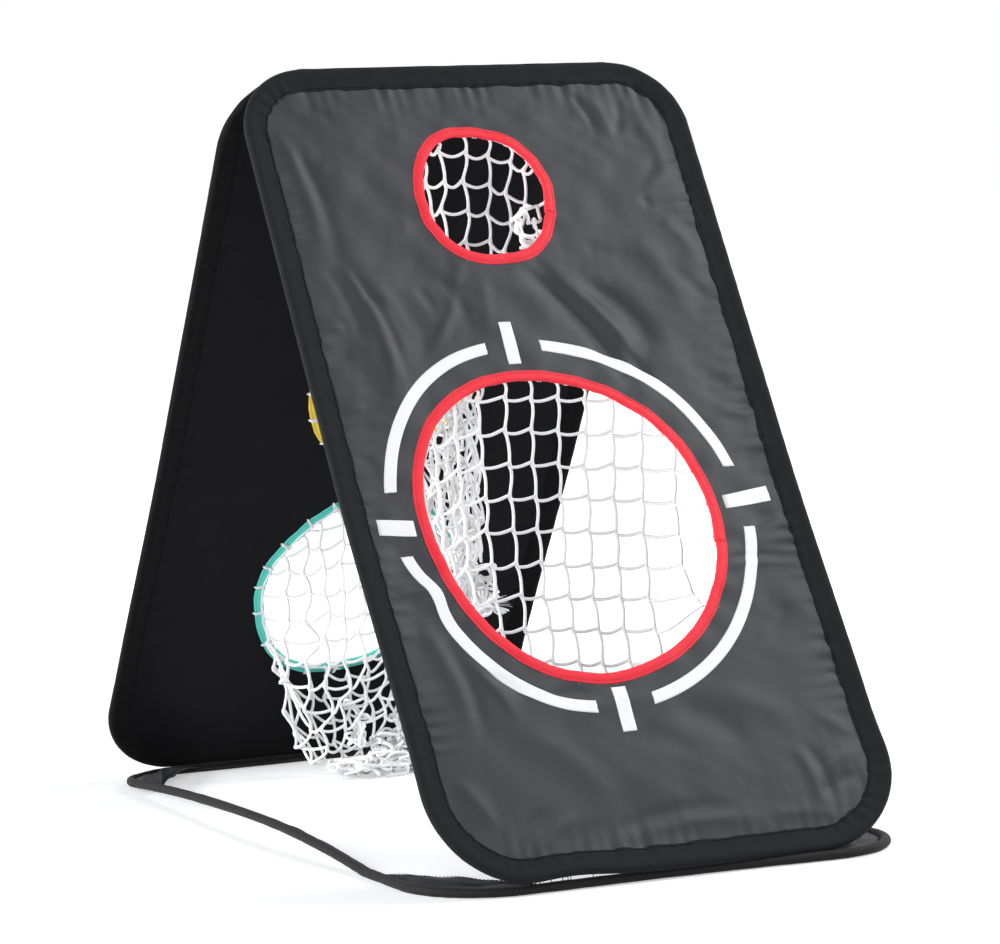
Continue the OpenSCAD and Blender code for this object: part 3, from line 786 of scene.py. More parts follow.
def trim_tape(opening, slot, material, thread, lap_hour):
    side, _, centre_s, radius, _ = OPENINGS[opening]
    seed = len(opening) * 7 + centre_s
    start = math.radians(lap_hour * 30)
    count = round(2 * math.pi * radius / TRIM_STEP)
    angle = start + np.linspace(0, 2 * math.pi + LAP_TURN, count)
    over = smooth(2 * math.pi - LAP_TURN * 0.6, 2 * math.pi, angle - start)[:, None]
    place, height = np.array(TRIM_FACE + tuple((a, -b) for a, b in TRIM_FACE[:0:-1])).T
    reach = angle * 90
    wave = 0.35 * wavy(reach, 40, seed) + 0.15 * wavy(reach, 12, seed + 3)
    high = height * (1 + 0.09 * wavy(reach, 26, seed + 4)[:, None]) + np.sign(height) * 0.7 * over
    x, s = rim(opening, angle[:, None], place + wave[:, None] - 0.5 * over)
    made = piece(f"{opening}_trim_tape", on_panel(side, x, s, high + drape(side, x, s)),
                 capped(len(angle), len(place)), material, f"{PANEL[side]}_panel",
                 swept_cut(angle * (radius + TRIM_W / 2), len(place), TRIM_CUT_STEP))
    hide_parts(f"{opening}_trim")
    x, s = rim(opening, np.linspace(0, 2 * math.pi, count)[:-1], TRIM_STITCH_OUT)
    stitch_both_faces(f"{opening}_trim_stitches", side, x, s, drape(side, x, s), TRIM_STITCH_OFF,
                      thread, slot, **TRIM_STITCH)


def grosgrain(name, colour, painted_highlight):
    """Ribbed tape: a rib across it every 0.9 mm. A lighter painted highlight colour is mixed in on the
    rib crests and in cloudy patches.
    """
    recipe = Recipe(name)
    place = recipe.node("ShaderNodeUVMap", {"uv_map": CUT})
    along = recipe.node("ShaderNodeSeparateXYZ", values={0: place}, out=0)
    ribs = (along * (2 * math.pi / TRIM_RIB_M)).sine() * 0.5 + 0.5
    clouds = noise(recipe, place, 60.0, 3.0)
    # The painted highlight's share: it rises with the cloudy noise and on each rib's crest
    shade = (clouds * 0.8 + ribs * 0.25).clipped()
    return finished(recipe, {
        "Base Color": recipe.colour_mix(shade, rgba(*colour), rgba(*painted_highlight)),
        "Roughness": 0.5 + clouds * 0.15, "Normal": bumps(recipe, 0.3, 0.3, ribs),
        "Specular IOR Level": 0.15, "Sheen Weight": 0.05})


trim_finish = {hue: (grosgrain(f"{hue}_trim_tape", tape, painted_highlight),
                     thread_finish(f"{hue}_sewing_thread", thread))
               for hue, (tape, painted_highlight, thread) in TRIM_COLOURS.items()}
# The hour at which each trim laps over its own start
for opening, hue, lap_hour in (("front_upper", "red", 3.4), ("front_lower", "red", 3.17),
                               ("back_upper", "yellow", 2.2), ("back_lower", "teal", 1.6)):
    trim_tape(opening, f"{hue}_trim", *trim_finish[hue], lap_hour)


# ---- Printed aiming mark ----
# A broken ring and four ticks are screen printed in white on the front cloth round the
# large target. The print lies on the cloth, so it follows each crease.

PRINT_RISE = 0.42
INK_THICK = 0.2
MARK_R = 201.0
MARK_STROKE = 13.0
MARK_PULLED = (3, 1, -1, -5, -7, -5, 0, 2, -8, -6, 2, 9)
# The cloth is pulled in across the ring's lower left, this far and round this angle
MARK_DENT = 9.0
DENT_ANGLE = math.radians(250)
DENT_HALF = 0.12
# Corner places of each tick, across and down
TICKS = (
    ((-32, 307.5), (-18, 307.5), (-18, 356), (-32, 356)),
    ((-19, 720), (-3.5, 720), (-3, 767.5), (-18.5, 768)),
    ((-223, 519), (-183.5, 523), (-183.5, 540), (-223, 536)),
    ((166.5, 521), (220.5, 514), (221, 531), (167, 536)),
)
# Each arc runs from a cut that is upright, at a place across, to one that is level
ARCS = ((-52.5, 491, -1, -1), (8.5, 489, 1, -1), (-40, 560, -1, 1), (23.5, 557.5, 1, 1))


def patch(corners, columns=9, rows=24):
    """A tick's places, spread evenly between its four corners."""
    a, b, c, d = np.array(corners, float)
    u = np.linspace(0, 1, columns)[None, :, None]
    v = np.linspace(0, 1, rows)[:, None, None]
    return (1 - u) * (1 - v) * a + u * (1 - v) * b + u * v * c + (1 - u) * v * d


def mark_arc(cut_x, cut_s, side_x, side_s, rows=7, columns=90):
    """The places of a quarter of the ring, cut square at both ends."""
    _, centre_x, centre_s, _, _ = OPENINGS["front_lower"]
    fine = np.linspace(0, math.pi / 2, 400)
    angle = side_x * (fine if side_s < 0 else math.pi - fine)
    dent = MARK_DENT * np.exp(-((angle % (2 * math.pi) - DENT_ANGLE) / DENT_HALF) ** 2)
    grid = np.empty((rows, columns, 2))
    for row, out in enumerate(np.linspace(-MARK_STROKE / 2, MARK_STROKE / 2, rows)):
        r = MARK_R + out + hourly(MARK_PULLED, angle) - dent
        x, s = centre_x + r * np.sin(angle), centre_s - r * np.cos(angle)
        kept = fine[((x - cut_x) * side_x >= 0) & ((s - cut_s) * side_s >= 0)]
        place = np.linspace(kept[0], kept[-1], columns)
        grid[row] = part_way(place, fine, np.stack([x, s], -1))
    return grid


def printed_mark():
    recipe = Recipe("white_screen_print")
    grain = noise(recipe, recipe.node("ShaderNodeUVMap", {"uv_map": CUT}), 500.0, 3.0)
    ink = finished(recipe, {
        "Base Color": recipe.colour_mix(grain, rgba(248, 248, 252), rgba(255, 255, 255)),
        "Roughness": 0.55, "Specular IOR Level": 0.3, "Normal": bumps(recipe, 0.15, 0.3, grain)})
    places, faces = [], []
    for grid in [patch(corners) for corners in TICKS] + [mark_arc(*arc) for arc in ARCS]:
        first = sum(len(place) for place in places)
        places.append(grid.reshape(-1, 2))
        faces.extend((grid_quads(*grid.shape[:2]).reshape(-1, 4) + first).tolist())
    flat = np.concatenate(places)
    x, s = flat.T
    made = piece("aiming_print", on_panel(FRONT, x, s, drape(FRONT, x, s) + PRINT_RISE), faces, ink,
                 "front_panel", flat)
    thicken(made, "ink_film", INK_THICK)
    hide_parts("front_aiming_mark")


printed_mark()


# ---- Target nets ----
# Each opening is backed by a pocket of knotless braided netting, white, laced to the
# inner face of its trim. It is cut full, so it hangs straight down inside the tent and
# swings back up to the opening's foot. The upper back net is gathered and knotted.

CORD_R = 1.8
NET_OFF = -1.8
NET_RIM = 2.0
JOINT_SWELL = 0.42
JOINT_LONG = 3.4
# How far a cord bellies between two joints, and how far from a joint a rung leaves it
CELL_BELLY = 2.6
JOINT_HALF = 2.2
# The first row's share of a cell, and how near its rim a cord may have a joint
FIRST_ROW = 0.55
RIM_CLEAR = 7.0
# A row is tied off to the rim by a cord of at most this many cells, and no shorter than this
LONGEST_TIE = 3.2
SHORTEST_TIE = 6.0
# A further layer of a net lies this share of a column aside, and this far down and in
LAYER_ASIDE = 0.45
LAYER_DOWN = 9.0
LAYER_IN = 2.2

# Each net: its lowest height, how square its foot hangs, how far it leans sideways and is
# pushed into the tent, how late it swings back, how its rungs sag, the layers that it hangs
# in, how it narrows, how far its rows drop at each side, the jitter and the zigzag of its
# joints, its columns' places across, and the height of a cell
USUAL_NET = dict(full=3, shift=0, push=0, late=1.0, sag=2.2, layers=1)
NETS = {
    "front_upper": dict(USUAL_NET, low=550, push=6, late=1.7, sag=4.5, narrow=0.25, drop=(2, 34),
                        jitter=2.4, zigzag=2.0, columns=(-58, -33, -5, 22, 44, 58), down=31.0),
    "front_lower": dict(USUAL_NET, low=107, narrow=0.12, drop=(19, 12), jitter=1.2, zigzag=0.6,
                        columns=range(-151, 160, 29), down=34.0),
    "back_upper": dict(USUAL_NET, low=216, shift=20, push=90, layers=2, narrow=0.34, drop=(6, 10),
                       jitter=6.0, zigzag=5.0, columns=(-80, -52, -26, -4, 14, 28, 42, 56, 74),
                       down=30.0),
    "back_lower": dict(USUAL_NET, low=15, full=6, shift=8, sag=3.4, narrow=0.06, drop=(4, 12),
                       jitter=4.0, zigzag=3.5, columns=range(-106, 114, 24), down=27.0),
}

# Where each net lies heaped: place, reach each way, how wide its cords curl each way, and
# how many cords. The front one is given across, down and off its panel.
HEAPS = {
    "front_upper": (((40, 192, -9), (16, 26, 3), (9, 13, 2), 8),),
    "back_upper": (((62, 150, 380), (10, 12, 60), (6, 8, 34), 5),
                   ((58, 132, 285), (18, 14, 46), (7, 8, 30), 8),
                   ((58, 118, 236), (24, 12, 16), (12, 10, 12), 12)),
    "back_lower": (((24, 306, 14), (66, 20, 7), (17, 13, 7), 46),
                   ((62, 312, 36), (44, 16, 14), (13, 11, 9), 22),
                   ((0, 318, 62), (9, 8, 26), (11, 8, 11), 6),
                   ((78, 320, 70), (26, 12, 12), (12, 8, 9), 8)),
}


def pocket(opening, x, t):
    """Points on a hanging net: across from its middle, and 0 to 1 from its top rim to its foot."""
    side, centre_x, _, radius, _ = OPENINGS[opening]
    net = NETS[opening]
    x, t = np.broadcast_arrays(np.asarray(x, float), np.asarray(t, float))
    u = np.clip(x / (radius + NET_RIM), -1, 1)
    turn = np.arcsin(u)
    upper = on_panel(side, *rim(opening, turn, NET_RIM), NET_OFF)
    lower = on_panel(side, *rim(opening, math.pi - turn, NET_RIM), NET_OFF)
    middle = (upper[..., 2] + lower[..., 2]) / 2
    slack = 1 - np.abs(u) ** net["full"]
    pull = (4 * (middle + (net["low"] - middle) * slack) - middle) / 3
    bulge = 4 * t * (1 - t) * slack
    across = upper[..., 0] * (1 - t) + lower[..., 0] * t - centre_x
    swing = (lower[..., 1] - upper[..., 1]) * eased(t ** net["late"])
    return np.stack([centre_x + net["shift"] * bulge + across * (1 - net["narrow"] * bulge),
                     upper[..., 1] + swing - side * net["push"] * bulge,
                     upper[..., 2] * (1 - t) ** 3 + 3 * pull * t * (1 - t) + lower[..., 2] * t ** 3], -1)


def cord_tubes(runs, around=6):
    """Points and faces of round cords, each given as its points and a radius at each."""
    points, faces, first = [], [], 0
    turns = 2 * math.pi * np.arange(around)[:, None] / around
    for line, radius in runs:
        line = np.asarray(line, float)
        ahead = unit(np.gradient(line, axis=0))
        aside = unit(np.cross(ahead, np.eye(3)[np.argmin(np.abs(ahead).max(0))]))
        up = np.cross(aside, ahead)
        ring = up[:, None] * np.cos(turns) + aside[:, None] * np.sin(turns)
        radius = np.broadcast_to(np.asarray(radius, float), len(line))
        points.append((line[:, None] + radius[:, None, None] * ring).reshape(-1, 3))
        faces += capped(len(line), around, first)
        first += around * len(line)
    return np.concatenate(points), faces


def net_column(opening, x, number, layer, draw):
    """One upright cord: its rows, the places of its joints, its length, and a way to find a point."""
    side, _, _, radius, _ = OPENINGS[opening]
    net = NETS[opening]
    line = pocket(opening, x, np.linspace(0, 1, 260))
    reach, length = run_length(line, closed=False)
    rim_r = radius + NET_RIM
    fall = rim_r * (1 - math.sqrt(max(0, 1 - (x / rim_r) ** 2))) * math.cos(lean)
    lowered = net["drop"][0 if x < 0 else 1] * (x / radius) ** 2
    rows = np.arange(-12, 24)
    places = (rows + FIRST_ROW) * net["down"] - fall + lowered + layer * LAYER_DOWN
    places = places + draw.normal(0, net["jitter"] * 0.7, len(rows))
    inside = (places > RIM_CLEAR) & (places < length - RIM_CLEAR)
    rows, places = rows[inside], places[inside]
    sway = draw.normal(0, net["jitter"] * 0.6, len(rows)) + net["zigzag"] * (-1.0) ** (rows + number)
    into = draw.normal(0, net["jitter"] * 0.35, len(rows)) + layer * LAYER_IN
    ends = np.concatenate([[0], places, [length]])
    sway, into = np.pad(sway, 1), np.pad(into, 1)

    def at(where):
        base = part_way(where, reach, line)
        if len(places) == 0:
            return base
        span = np.clip(np.searchsorted(ends, where) - 1, 0, len(ends) - 2)
        share = (where - ends[span]) / (ends[span + 1] - ends[span])
        aside, inward = (held[span] + (held[span + 1] - held[span]) * eased(share)
                         for held in (sway, into))
        aside = aside + CELL_BELLY * np.sin(math.pi * share ** 0.75)
        return base + aside[..., None] * [1.0, 0, 0] - inward[..., None] * outward(side)

    return SimpleNamespace(rows=rows.tolist(), places=places, length=length, at=at)


def netting(opening):
    """Every cord of a net as one piece: columns, then the rungs between them and to the rim."""
    side, _, centre_s, radius, _ = OPENINGS[opening]
    net = NETS[opening]
    draw = np.random.default_rng(600 + int(radius))
    rim_r = radius + NET_RIM
    runs = []
    for layer in range(net["layers"]):
        shift = layer * LAYER_ASIDE * (net["columns"][1] - net["columns"][0])
        columns = []
        for number, x in enumerate(net["columns"]):
            x = x + shift + draw.normal(0, net["jitter"] * 0.4)
            if abs(x) < rim_r - 3:
                columns.append(net_column(opening, x, number, layer, draw))
        for column in columns:
            where = np.linspace(0, column.length, max(4, round(column.length / 3)))
            near = np.min(np.abs(where[:, None] - column.places), axis=1, initial=99)
            swell = JOINT_SWELL * np.exp(-(near / JOINT_LONG) ** 4)
            runs.append((column.at(where), CORD_R * (1 + swell)))
        for one, other in zip(columns, columns[1:]):
            for row, place in zip(one.rows, one.places):
                if row in other.rows:
                    start = one.at(min(place + JOINT_HALF, one.length))
                    end = other.at(max(other.places[other.rows.index(row)] - JOINT_HALF, 0))
                    runs.append((rung(start, end, net["sag"], draw), CORD_R))
        # The outermost joint of each row is tied off to the rim at its own height
        for row in sorted({row for column in columns for row in column.rows}):
            held = [column for column in columns if row in column.rows]
            for column, way in ((held[0], -1), (held[-1], 1)):
                start = column.at(column.places[column.rows.index(row)])
                s = SLEEVE_R + (ridge_z - start[2]) / math.cos(lean) - way * 3
                if abs(s - centre_s) < rim_r * 0.96:
                    turn = way * math.acos((centre_s - s) / rim_r)
                    end = on_panel(side, *rim(opening, turn, NET_RIM), NET_OFF - 0.8)
                    if SHORTEST_TIE < np.linalg.norm(end - start) < LONGEST_TIE * net["down"]:
                        runs.append((rung(start, end, net["sag"], draw), CORD_R))
    runs.extend(heaped(opening, draw))
    points, faces = cord_tubes(runs)
    made = piece(f"{opening}_netting", points, faces, netting_cord, f"{PANEL[side]}_panel")
    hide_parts(f"{opening}_net")
    fold_flat(made, opening, np.ptp((points - on_panel(side, 0, 0, 0)) @ outward(side)))


def fold_flat(made, opening, depth):
    """Gives a piece of netting a mesh of its own; nothing flattens it against its panel."""
    side, _, centre_s, _, _ = OPENINGS[opening]
    anchor = on_panel(side, 0, centre_s, NET_OFF - 1) / 1000
    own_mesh(made)


def on_slope(side):
    """The way down a panel's slope."""
    return np.array([0, side * math.sin(lean), -math.cos(lean)])


def heaped(opening, draw):
    """Where a net lies slack on itself: cords that wind about a place, as far as their reach."""
    side = OPENINGS[opening][0]
    runs = []
    for middle, reach, curl, count in HEAPS.get(opening, ()):
        ways = np.eye(3)
        if side == FRONT:
            middle, ways = on_panel(side, *middle), np.stack([[1, 0, 0], on_slope(side), outward(side)])
        turn = np.linspace(0, 2 * math.pi, 40)[:, None]
        for _ in range(count):
            place = draw.uniform(-1, 1, 3)
            place = place / max(1, np.linalg.norm(place)) * reach
            winding = sum(
                draw.normal(0, 0.75 / k, 3) * np.sin(k * turn + draw.uniform(0, 2 * math.pi, 3))
                for k in (1, 2, 3))
            line = np.array(middle) + (place + np.clip(winding, -1.2, 1.2) * curl) @ ways
            line[:, 2] = np.maximum(line[:, 2], CORD_R + 0.6)
            runs.append((line, CORD_R))
    return runs


def rung(start, end, sag, draw, steps=11):
    """A cord between two joints: it leaves level, then climbs, and sags a little."""
    t = np.linspace(0, 1, steps)[:, None]
    line = start + (end - start) * t
    rise = (end - start)[2]
    line[:, 2:] += rise * 0.7 * (eased(t) - t) - (sag + draw.normal(0, 0.6)) * np.sin(math.pi * t)
    return line


def braided_white():
    """Soft braided polyester cord: fine strands, and a furry edge that catches the light."""
    recipe = Recipe("white_netting_cord")
    place = recipe.node("ShaderNodeTexCoord", out="Object")
    strands = recipe.node("ShaderNodeTexVoronoi", {"feature": "F1"}, {"Vector": place, "Scale": 900.0})
    fluff = noise(recipe, place, 300.0, 3.0, dimensions="3D")
    return finished(recipe, {
        "Base Color": recipe.colour_mix(fluff, rgba(244, 244, 247), rgba(255, 255, 255)),
        "Roughness": 0.8, "Normal": bumps(recipe, 0.35, 0.5, strands * -0.6 + fluff * 0.5),
        "Specular IOR Level": 0.2, "Sheen Weight": 1.0, "Sheen Roughness": 0.5})


netting_cord = braided_white()
for opening in OPENINGS:
    netting(opening)


# ---- Net lacing ----
# A border cord runs round each net. White lacing holds it to the trim: it crosses the
# inner face of the trim and dives through the cloth just outside it, with small knots.

BORDER_R = 1.4
LACING_R = 1.0
LACING_PITCH = 35.0
BORDER_OUT = 3.5
BORDER_IN = 2.7
# Each loop starts this far outside the opening's edge, and reaches this much further
LOOP_START = 1.2
LOOP_REACH = 12.6
KNOT_OUT = 5.6
KNOT_IN = 3.6


def lacing(opening):
    side, _, _, radius, _ = OPENINGS[opening]
    draw = np.random.default_rng(700 + int(radius))
    around = np.linspace(0, 2 * math.pi, max(90, round(radius * 2)))
    wander = 0.5 * wavy(around * radius, 30, int(radius))
    wander = wander - (wander[0] - wander[-1]) * (1 - around / (2 * math.pi))
    x, s = rim(opening, around, BORDER_OUT + wander)
    runs = [(on_panel(side, x, s, drape(side, x, s) - BORDER_IN), BORDER_R)]
    count = int(2 * math.pi * radius / LACING_PITCH)
    for k in range(count):
        middle = 2 * math.pi * (k + draw.uniform(-0.18, 0.18)) / count
        slant = draw.uniform(-1.6, 1.6) / radius
        foot = draw.uniform(0.7, 1.6) / radius
        t = np.linspace(-1, 1, 15)
        out = LOOP_START + LOOP_REACH * np.sqrt(1 - t ** 2)
        angle = middle + foot * t + slant * out / 6
        # Over the border cord, along the trim, and down into the cloth just outside it
        off = -2.9 - 1.3 * np.exp(-((out - BORDER_OUT) / 2.4) ** 2) + 2.2 * smooth(11.2, 13.6, out)
        x, s = rim(opening, angle, out)
        runs.append((on_panel(side, x, s, drape(side, x, s) + off), LACING_R))
        if k % 3 == 1:
            runs.extend(small_knot(side, opening, middle, draw))
    points, faces = cord_tubes(runs)
    made = piece(f"{opening}_net_lacing", points, faces, netting_cord, f"{PANEL[side]}_panel")
    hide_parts(f"{opening}_net_loops")


def small_knot(side, opening, angle, draw):
    """Two turns of lacing pulled tight, and its two cut tails."""
    x, s = rim(opening, angle, KNOT_OUT)
    centre = on_panel(side, x, s, float(drape(side, x, s)) - KNOT_IN)
    turns = np.linspace(0, 4 * math.pi, 22)
    along = np.array([math.cos(angle), 0, 0]) + math.sin(angle) * on_slope(side)
    level = outward(side)
    wraps = centre + 1.1 * np.cos(turns)[:, None] * np.cross(along, level) \
        + 0.75 * np.sin(turns)[:, None] * level + (turns / (4 * math.pi) - 0.5)[:, None] * 2.2 * along
    runs = [(wraps, LACING_R * 0.8)]
    for way in (-1, 1):
        t = np.linspace(0, 1, 6)[:, None]
        spread = along * way * draw.uniform(3, 6) + np.array([0, 0, -draw.uniform(2, 4)])
        tail = centre + spread * t - level * 0.4 * np.sin(math.pi * t)
        runs.append((tail, LACING_R * (1 - 0.5 * t[:, 0])))
    return runs


for opening in OPENINGS:
    lacing(opening)


# ---- Net knot ----
# The foot of the upper back net is gathered into one knot. The net's own cords pass
# through it, and their cut ends stand out beside it and fray.

KNOT_TURNS = 7
KNOT_ENDS = 16
WHOLE_ENDS = 6
STRAND_R = 0.3
KNOT_CORDS = 18


def net_knot():
    low, high = box_mm("back_upper_net_knot")
    centre, radius = (low + high) / 2, (high[0] - low[0]) / 2
    draw = np.random.default_rng(811)
    runs = []
    for k in range(KNOT_TURNS):
        tilt = draw.uniform(-0.9, 0.9, 2)
        turn = np.linspace(0, 2 * math.pi * 1.08, 34)
        wide = radius * draw.uniform(0.55, 0.86)
        ring = np.stack([wide * np.cos(turn), wide * np.sin(turn),
                         radius * 0.5 * np.sin(turn * 0.5 + k)], -1)
        tip = np.array([[1, 0, 0], [0, math.cos(tilt[0]), -math.sin(tilt[0])],
                        [0, math.sin(tilt[0]), math.cos(tilt[0])]])
        roll = np.array([[math.cos(tilt[1]), 0, math.sin(tilt[1])], [0, 1, 0],
                         [-math.sin(tilt[1]), 0, math.cos(tilt[1])]])
        middle = centre + [0, 0, draw.uniform(-0.25, 0.25) * radius]
        runs.append((middle + ring @ tip @ roll, CORD_R * 1.15))
    # The cut ends: the first are whole cords, and the rest are frayed strands
    for k in range(KNOT_ENDS):
        angle = draw.uniform(0, 2 * math.pi)
        t = np.linspace(0, 1, 9)[:, None]
        aim = np.array([draw.uniform(14, 34), math.sin(angle) * 9, draw.uniform(-9, 13)])
        start = centre + [radius * 0.2, 0, 0]
        runs.append((start + aim * t + np.array([0, 0, 2.5]) * np.sin(math.pi * t),
                     (CORD_R if k < WHOLE_ENDS else STRAND_R) * (1 - 0.35 * t[:, 0])))
    # The net's cords as they come into the knot from above
    for k in range(KNOT_CORDS):
        angle = 2 * math.pi * k / KNOT_CORDS + draw.uniform(-0.1, 0.1)
        t = np.linspace(0, 1, 7)[:, None]
        way = np.array([math.cos(angle), math.sin(angle), 0.5])
        rise = np.array([way[0] * draw.uniform(8, 18), way[1] * draw.uniform(6, 12),
                         draw.uniform(10, 20)])
        runs.append((centre + 0.4 * radius * way + rise * t ** [1.4, 1.4, 1.0], CORD_R))
    points, faces = cord_tubes(runs)
    made = piece("back_upper_net_gather", points, faces, netting_cord, "back_panel")
    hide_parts("back_upper_net_knot")
    side = OPENINGS["back_upper"][0]
    hangs_in = abs((centre - on_panel(side, 0, 0, NET_OFF)) @ outward(side))
    fold_flat(made, "back_upper", hangs_in + np.ptp(points @ outward(side)) / 2)


net_knot()


# ---- Ground hoop ----
# The third hoop is a sprung wire in a plain sleeve of the same woven cloth. It lies on
# the ground and holds both feet apart, and its sides arch up a little off the floor.

BASE_CORNER_R = 90.0
BASE_SEAM = 8.0
# How high its sides arch, and how far in front of and behind the middle the arch ends
BASE_ARCH = 15.5
ARCH_FRONT = 270
ARCH_REAR = 430
# How far its front right corner splays out, its rear left one too, and its front run bows
FRONT_SPLAY = 18
REAR_SPLAY = 4
FRONT_BOW = 14
# Nothing reaches lower than this off the floor
GROUND_CLEAR = 0.2

_, base_high = box_mm("base_sleeve")
base_half, base_run, base_z = base_high - SLEEVE_R
base_spring_path, base_spring_out = hoop_path(base_half, -base_run, base_run,
                                              BASE_CORNER_R, BASE_CORNER_R)


def on_ground(x, y, up=0.0):
    """Points on the bent ground hoop: its sides arch, two corners splay, and its front run bows."""
    x, y, up = np.broadcast_arrays(*(np.asarray(v, float) for v in (x, y, up)))
    arch = BASE_ARCH * np.maximum(0, 1 - (y / np.where(y > 0, ARCH_REAR, ARCH_FRONT)) ** 2)
    arch = arch * smooth(0.2, 0.96, np.abs(x) / base_half)
    splay = (FRONT_SPLAY * smooth(0, base_half, x) * smooth(-180, -400, y)
             - REAR_SPLAY * smooth(0, -base_half, x) * smooth(200, 420, y))
    bow = FRONT_BOW * smooth(-40, base_half, x) * smooth(-150, -420, y)
    return np.stack([x + splay, y - bow, base_z + arch + up], -1)


def ground_sleeve():
    """A round sleeve over the wire, its seam allowance turned to the inside of the hoop."""
    turns = np.radians(np.arange(164, -165, -20))
    lowest = GROUND_CLEAR - base_z
    ring = [(SLEEVE_R * math.cos(a), max(SLEEVE_R * math.sin(a), lowest)) for a in turns]
    fold = -SLEEVE_R - BASE_SEAM + 4
    place, height = np.array(ring + [(fold, -0.7), (fold - 0.6, 0.1), (fold, 0.9)]).T
    reach, _ = run_length(base_spring_path)
    fat = 0.45 * wavy(reach, 46, 91) + 0.25 * wavy(reach, 15, 92)
    lean_over = 0.5 * wavy(reach, 80, 93)
    out = place * (1 + 0.05 * fat[:, None])
    high = height * (1 + 0.07 * fat[:, None]) + lean_over[:, None] * (place < -5)
    x = base_spring_path[:, :1] + base_spring_out[:, :1] * out
    y = base_spring_path[:, 1:] + base_spring_out[:, 1:] * out
    made = piece("ground_hoop_sleeve", on_ground(x, y, np.maximum(high, lowest)),
                 closed_quads(len(reach), len(place))[:, ::-1], ground_cloth, "ground_hoop",
                 swept_cut(reach, len(place), 1.8))
    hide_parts("base_sleeve")
    seam = base_spring_path - base_spring_out * (SLEEVE_R + 1.6)
    stitch_row("ground_hoop_seam_stitches", on_ground(*seam.T, 1.35 + lean_over),
               np.broadcast_to([0, 0, 1.0], (len(seam), 3)), black_thread, "ground_hoop",
               "black_binding_tape")


ground_cloth = woven("ground_sleeve_cloth", (20, 19, 20), (31, 30, 32), thread=0.9, rough=0.62,
                     sheen=0.05, relief=0.35, gloss=0.15)
ground_sleeve()
spring_wire("ground_spring_wire", on_ground(*base_spring_path.T), "ground_hoop", "base_hoop_wire")
# The wires' ends are butted in crimped tubes, hidden in the sleeves
for node in ("front_hoop_ferrule", "back_hoop_ferrule", "base_hoop_ferrule"):
    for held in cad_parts[node].material_slots:
        held.material = steel


# ---- Corner gussets ----
# A triangle of the grey cloth is sewn across each corner of the ground hoop to keep it
# square. Its long edge is hemmed, and the cloth is slack, so it wrinkles and lifts.

GUSSET_X = 116.0
GUSSET_Y = {-1: 148.0, 1: 165.0}
GUSSET_IN = 3.5
GUSSET_THICK = 0.6


def gusset(name, x_side, y_side, lift, seed):
    wide, tall = 26, 30
    corner = np.array([x_side * base_half, y_side * base_run])
    # Along the hoop from one end of the hem to the other
    centre = corner - np.array([x_side, y_side]) * BASE_CORNER_R
    turn = np.linspace(0, math.pi / 2, 60)
    bend = centre + BASE_CORNER_R * np.stack([x_side * np.sin(turn), y_side * np.cos(turn)], -1)
    start = corner - np.array([x_side * GUSSET_X, 0])
    end = corner - np.array([0, y_side * GUSSET_Y[y_side]])
    rim_line = np.concatenate([[start], bend, [end]])
    reach, length = run_length(rim_line, closed=False)
    along = np.linspace(0, 1, tall)[:, None]
    outer = part_way(along[:, 0] * length, reach, rim_line)
    hem = start + (end - start) * along
    pulled = unit(hem - corner)
    outer = outer + pulled * GUSSET_IN * np.sin(math.pi * along) ** 0.3
    hem = hem - pulled * 4 * np.sin(math.pi * along)
    depth = np.linspace(0, 1, wide)[:, None]
    flat = hem[:, None] * (1 - depth) + outer[:, None] * depth
    x, y, into = flat[..., 0], flat[..., 1], depth[:, 0]
    slack = np.sin(math.pi * along) ** 0.7 * (1 - into ** 3)
    up = slack * (lift + 1.4 * ripple(x, y, 60, seed) + 0.4 * ripple(x, y, 24, seed + 1))
    up = up + slack * 3.5 * np.exp(-((into - 0.42 - 0.14 * np.sin(5 * along + seed)) / 0.07) ** 2)
    up = up + 0.8 * np.exp(-((into - 0.1) / 0.03) ** 2) * np.sin(math.pi * along)
    points = on_ground(x, y, np.maximum(up, 0.5 - base_z))
    quads = grid_quads(tall, wide).reshape(-1, 4)[:, ::x_side * y_side]
    made = piece(f"{name}_gusset_cloth", points, quads, gusset_cloth, "ground_hoop",
                 flat)
    thicken(made, "cloth_thickness", GUSSET_THICK)
    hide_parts(f"base_gusset_{name}")
    corners = flat[:-1, :-1], flat[:-1, 1:], flat[1:, 1:], flat[1:, :-1]
    area = abs(sum(0.5 * (a[..., 0] * b[..., 1] - a[..., 1] * b[..., 0])
                   for a, b in zip(corners, corners[1:] + corners[:1]))).sum()
    line = points[:, round(wide * 0.1)]
    stitch_row(f"{name}_gusset_stitches", line + [0, 0, 0.9], np.broadcast_to([0, 0, 1.0], line.shape),
               black_thread, "ground_hoop", "gusset_cloth", closed=False)


gusset_cloth = woven("grey_gusset_cloth", (30, 31, 34), (44, 45, 49), rough=0.5, sheen=0.04, gloss=0.15)
gusset("front_left", -1, -1, 5.0, 5)
gusset("front_right", 1, -1, 2.0, 6)
gusset("rear_left", -1, 1, 7.5, 7)
gusset("rear_right", 1, 1, 2.0, 8)


# ---- Ridge seam ----
# The two panels are sewn together along the ridge with a strip of tape that lies in the
# valley between their sleeves.

SEAM_THICK = 0.6


def swept_strip(name, profile, normals, half_length, thick, seed):
    """A strip of tape with this profile (back and up), laid along the ridge or the hinge."""
    x = np.linspace(-half_length, half_length, round(2 * half_length / 5))
    sway = 0.4 * 0.35 * wavy(x, 38, seed)
    loop = np.concatenate([profile + normals * thick / 2, (profile - normals * thick / 2)[::-1]])
    loop_normals = np.concatenate([normals, normals[::-1]])
    points = np.empty((len(x), len(loop), 3))
    points[..., 0] = x[:, None]
    points[..., 1:] = loop + loop_normals * sway[:, None, None]
    return piece(name, points, capped(len(x), len(loop)), black_tape, None,
                 swept_cut(x, len(loop), 1.0))


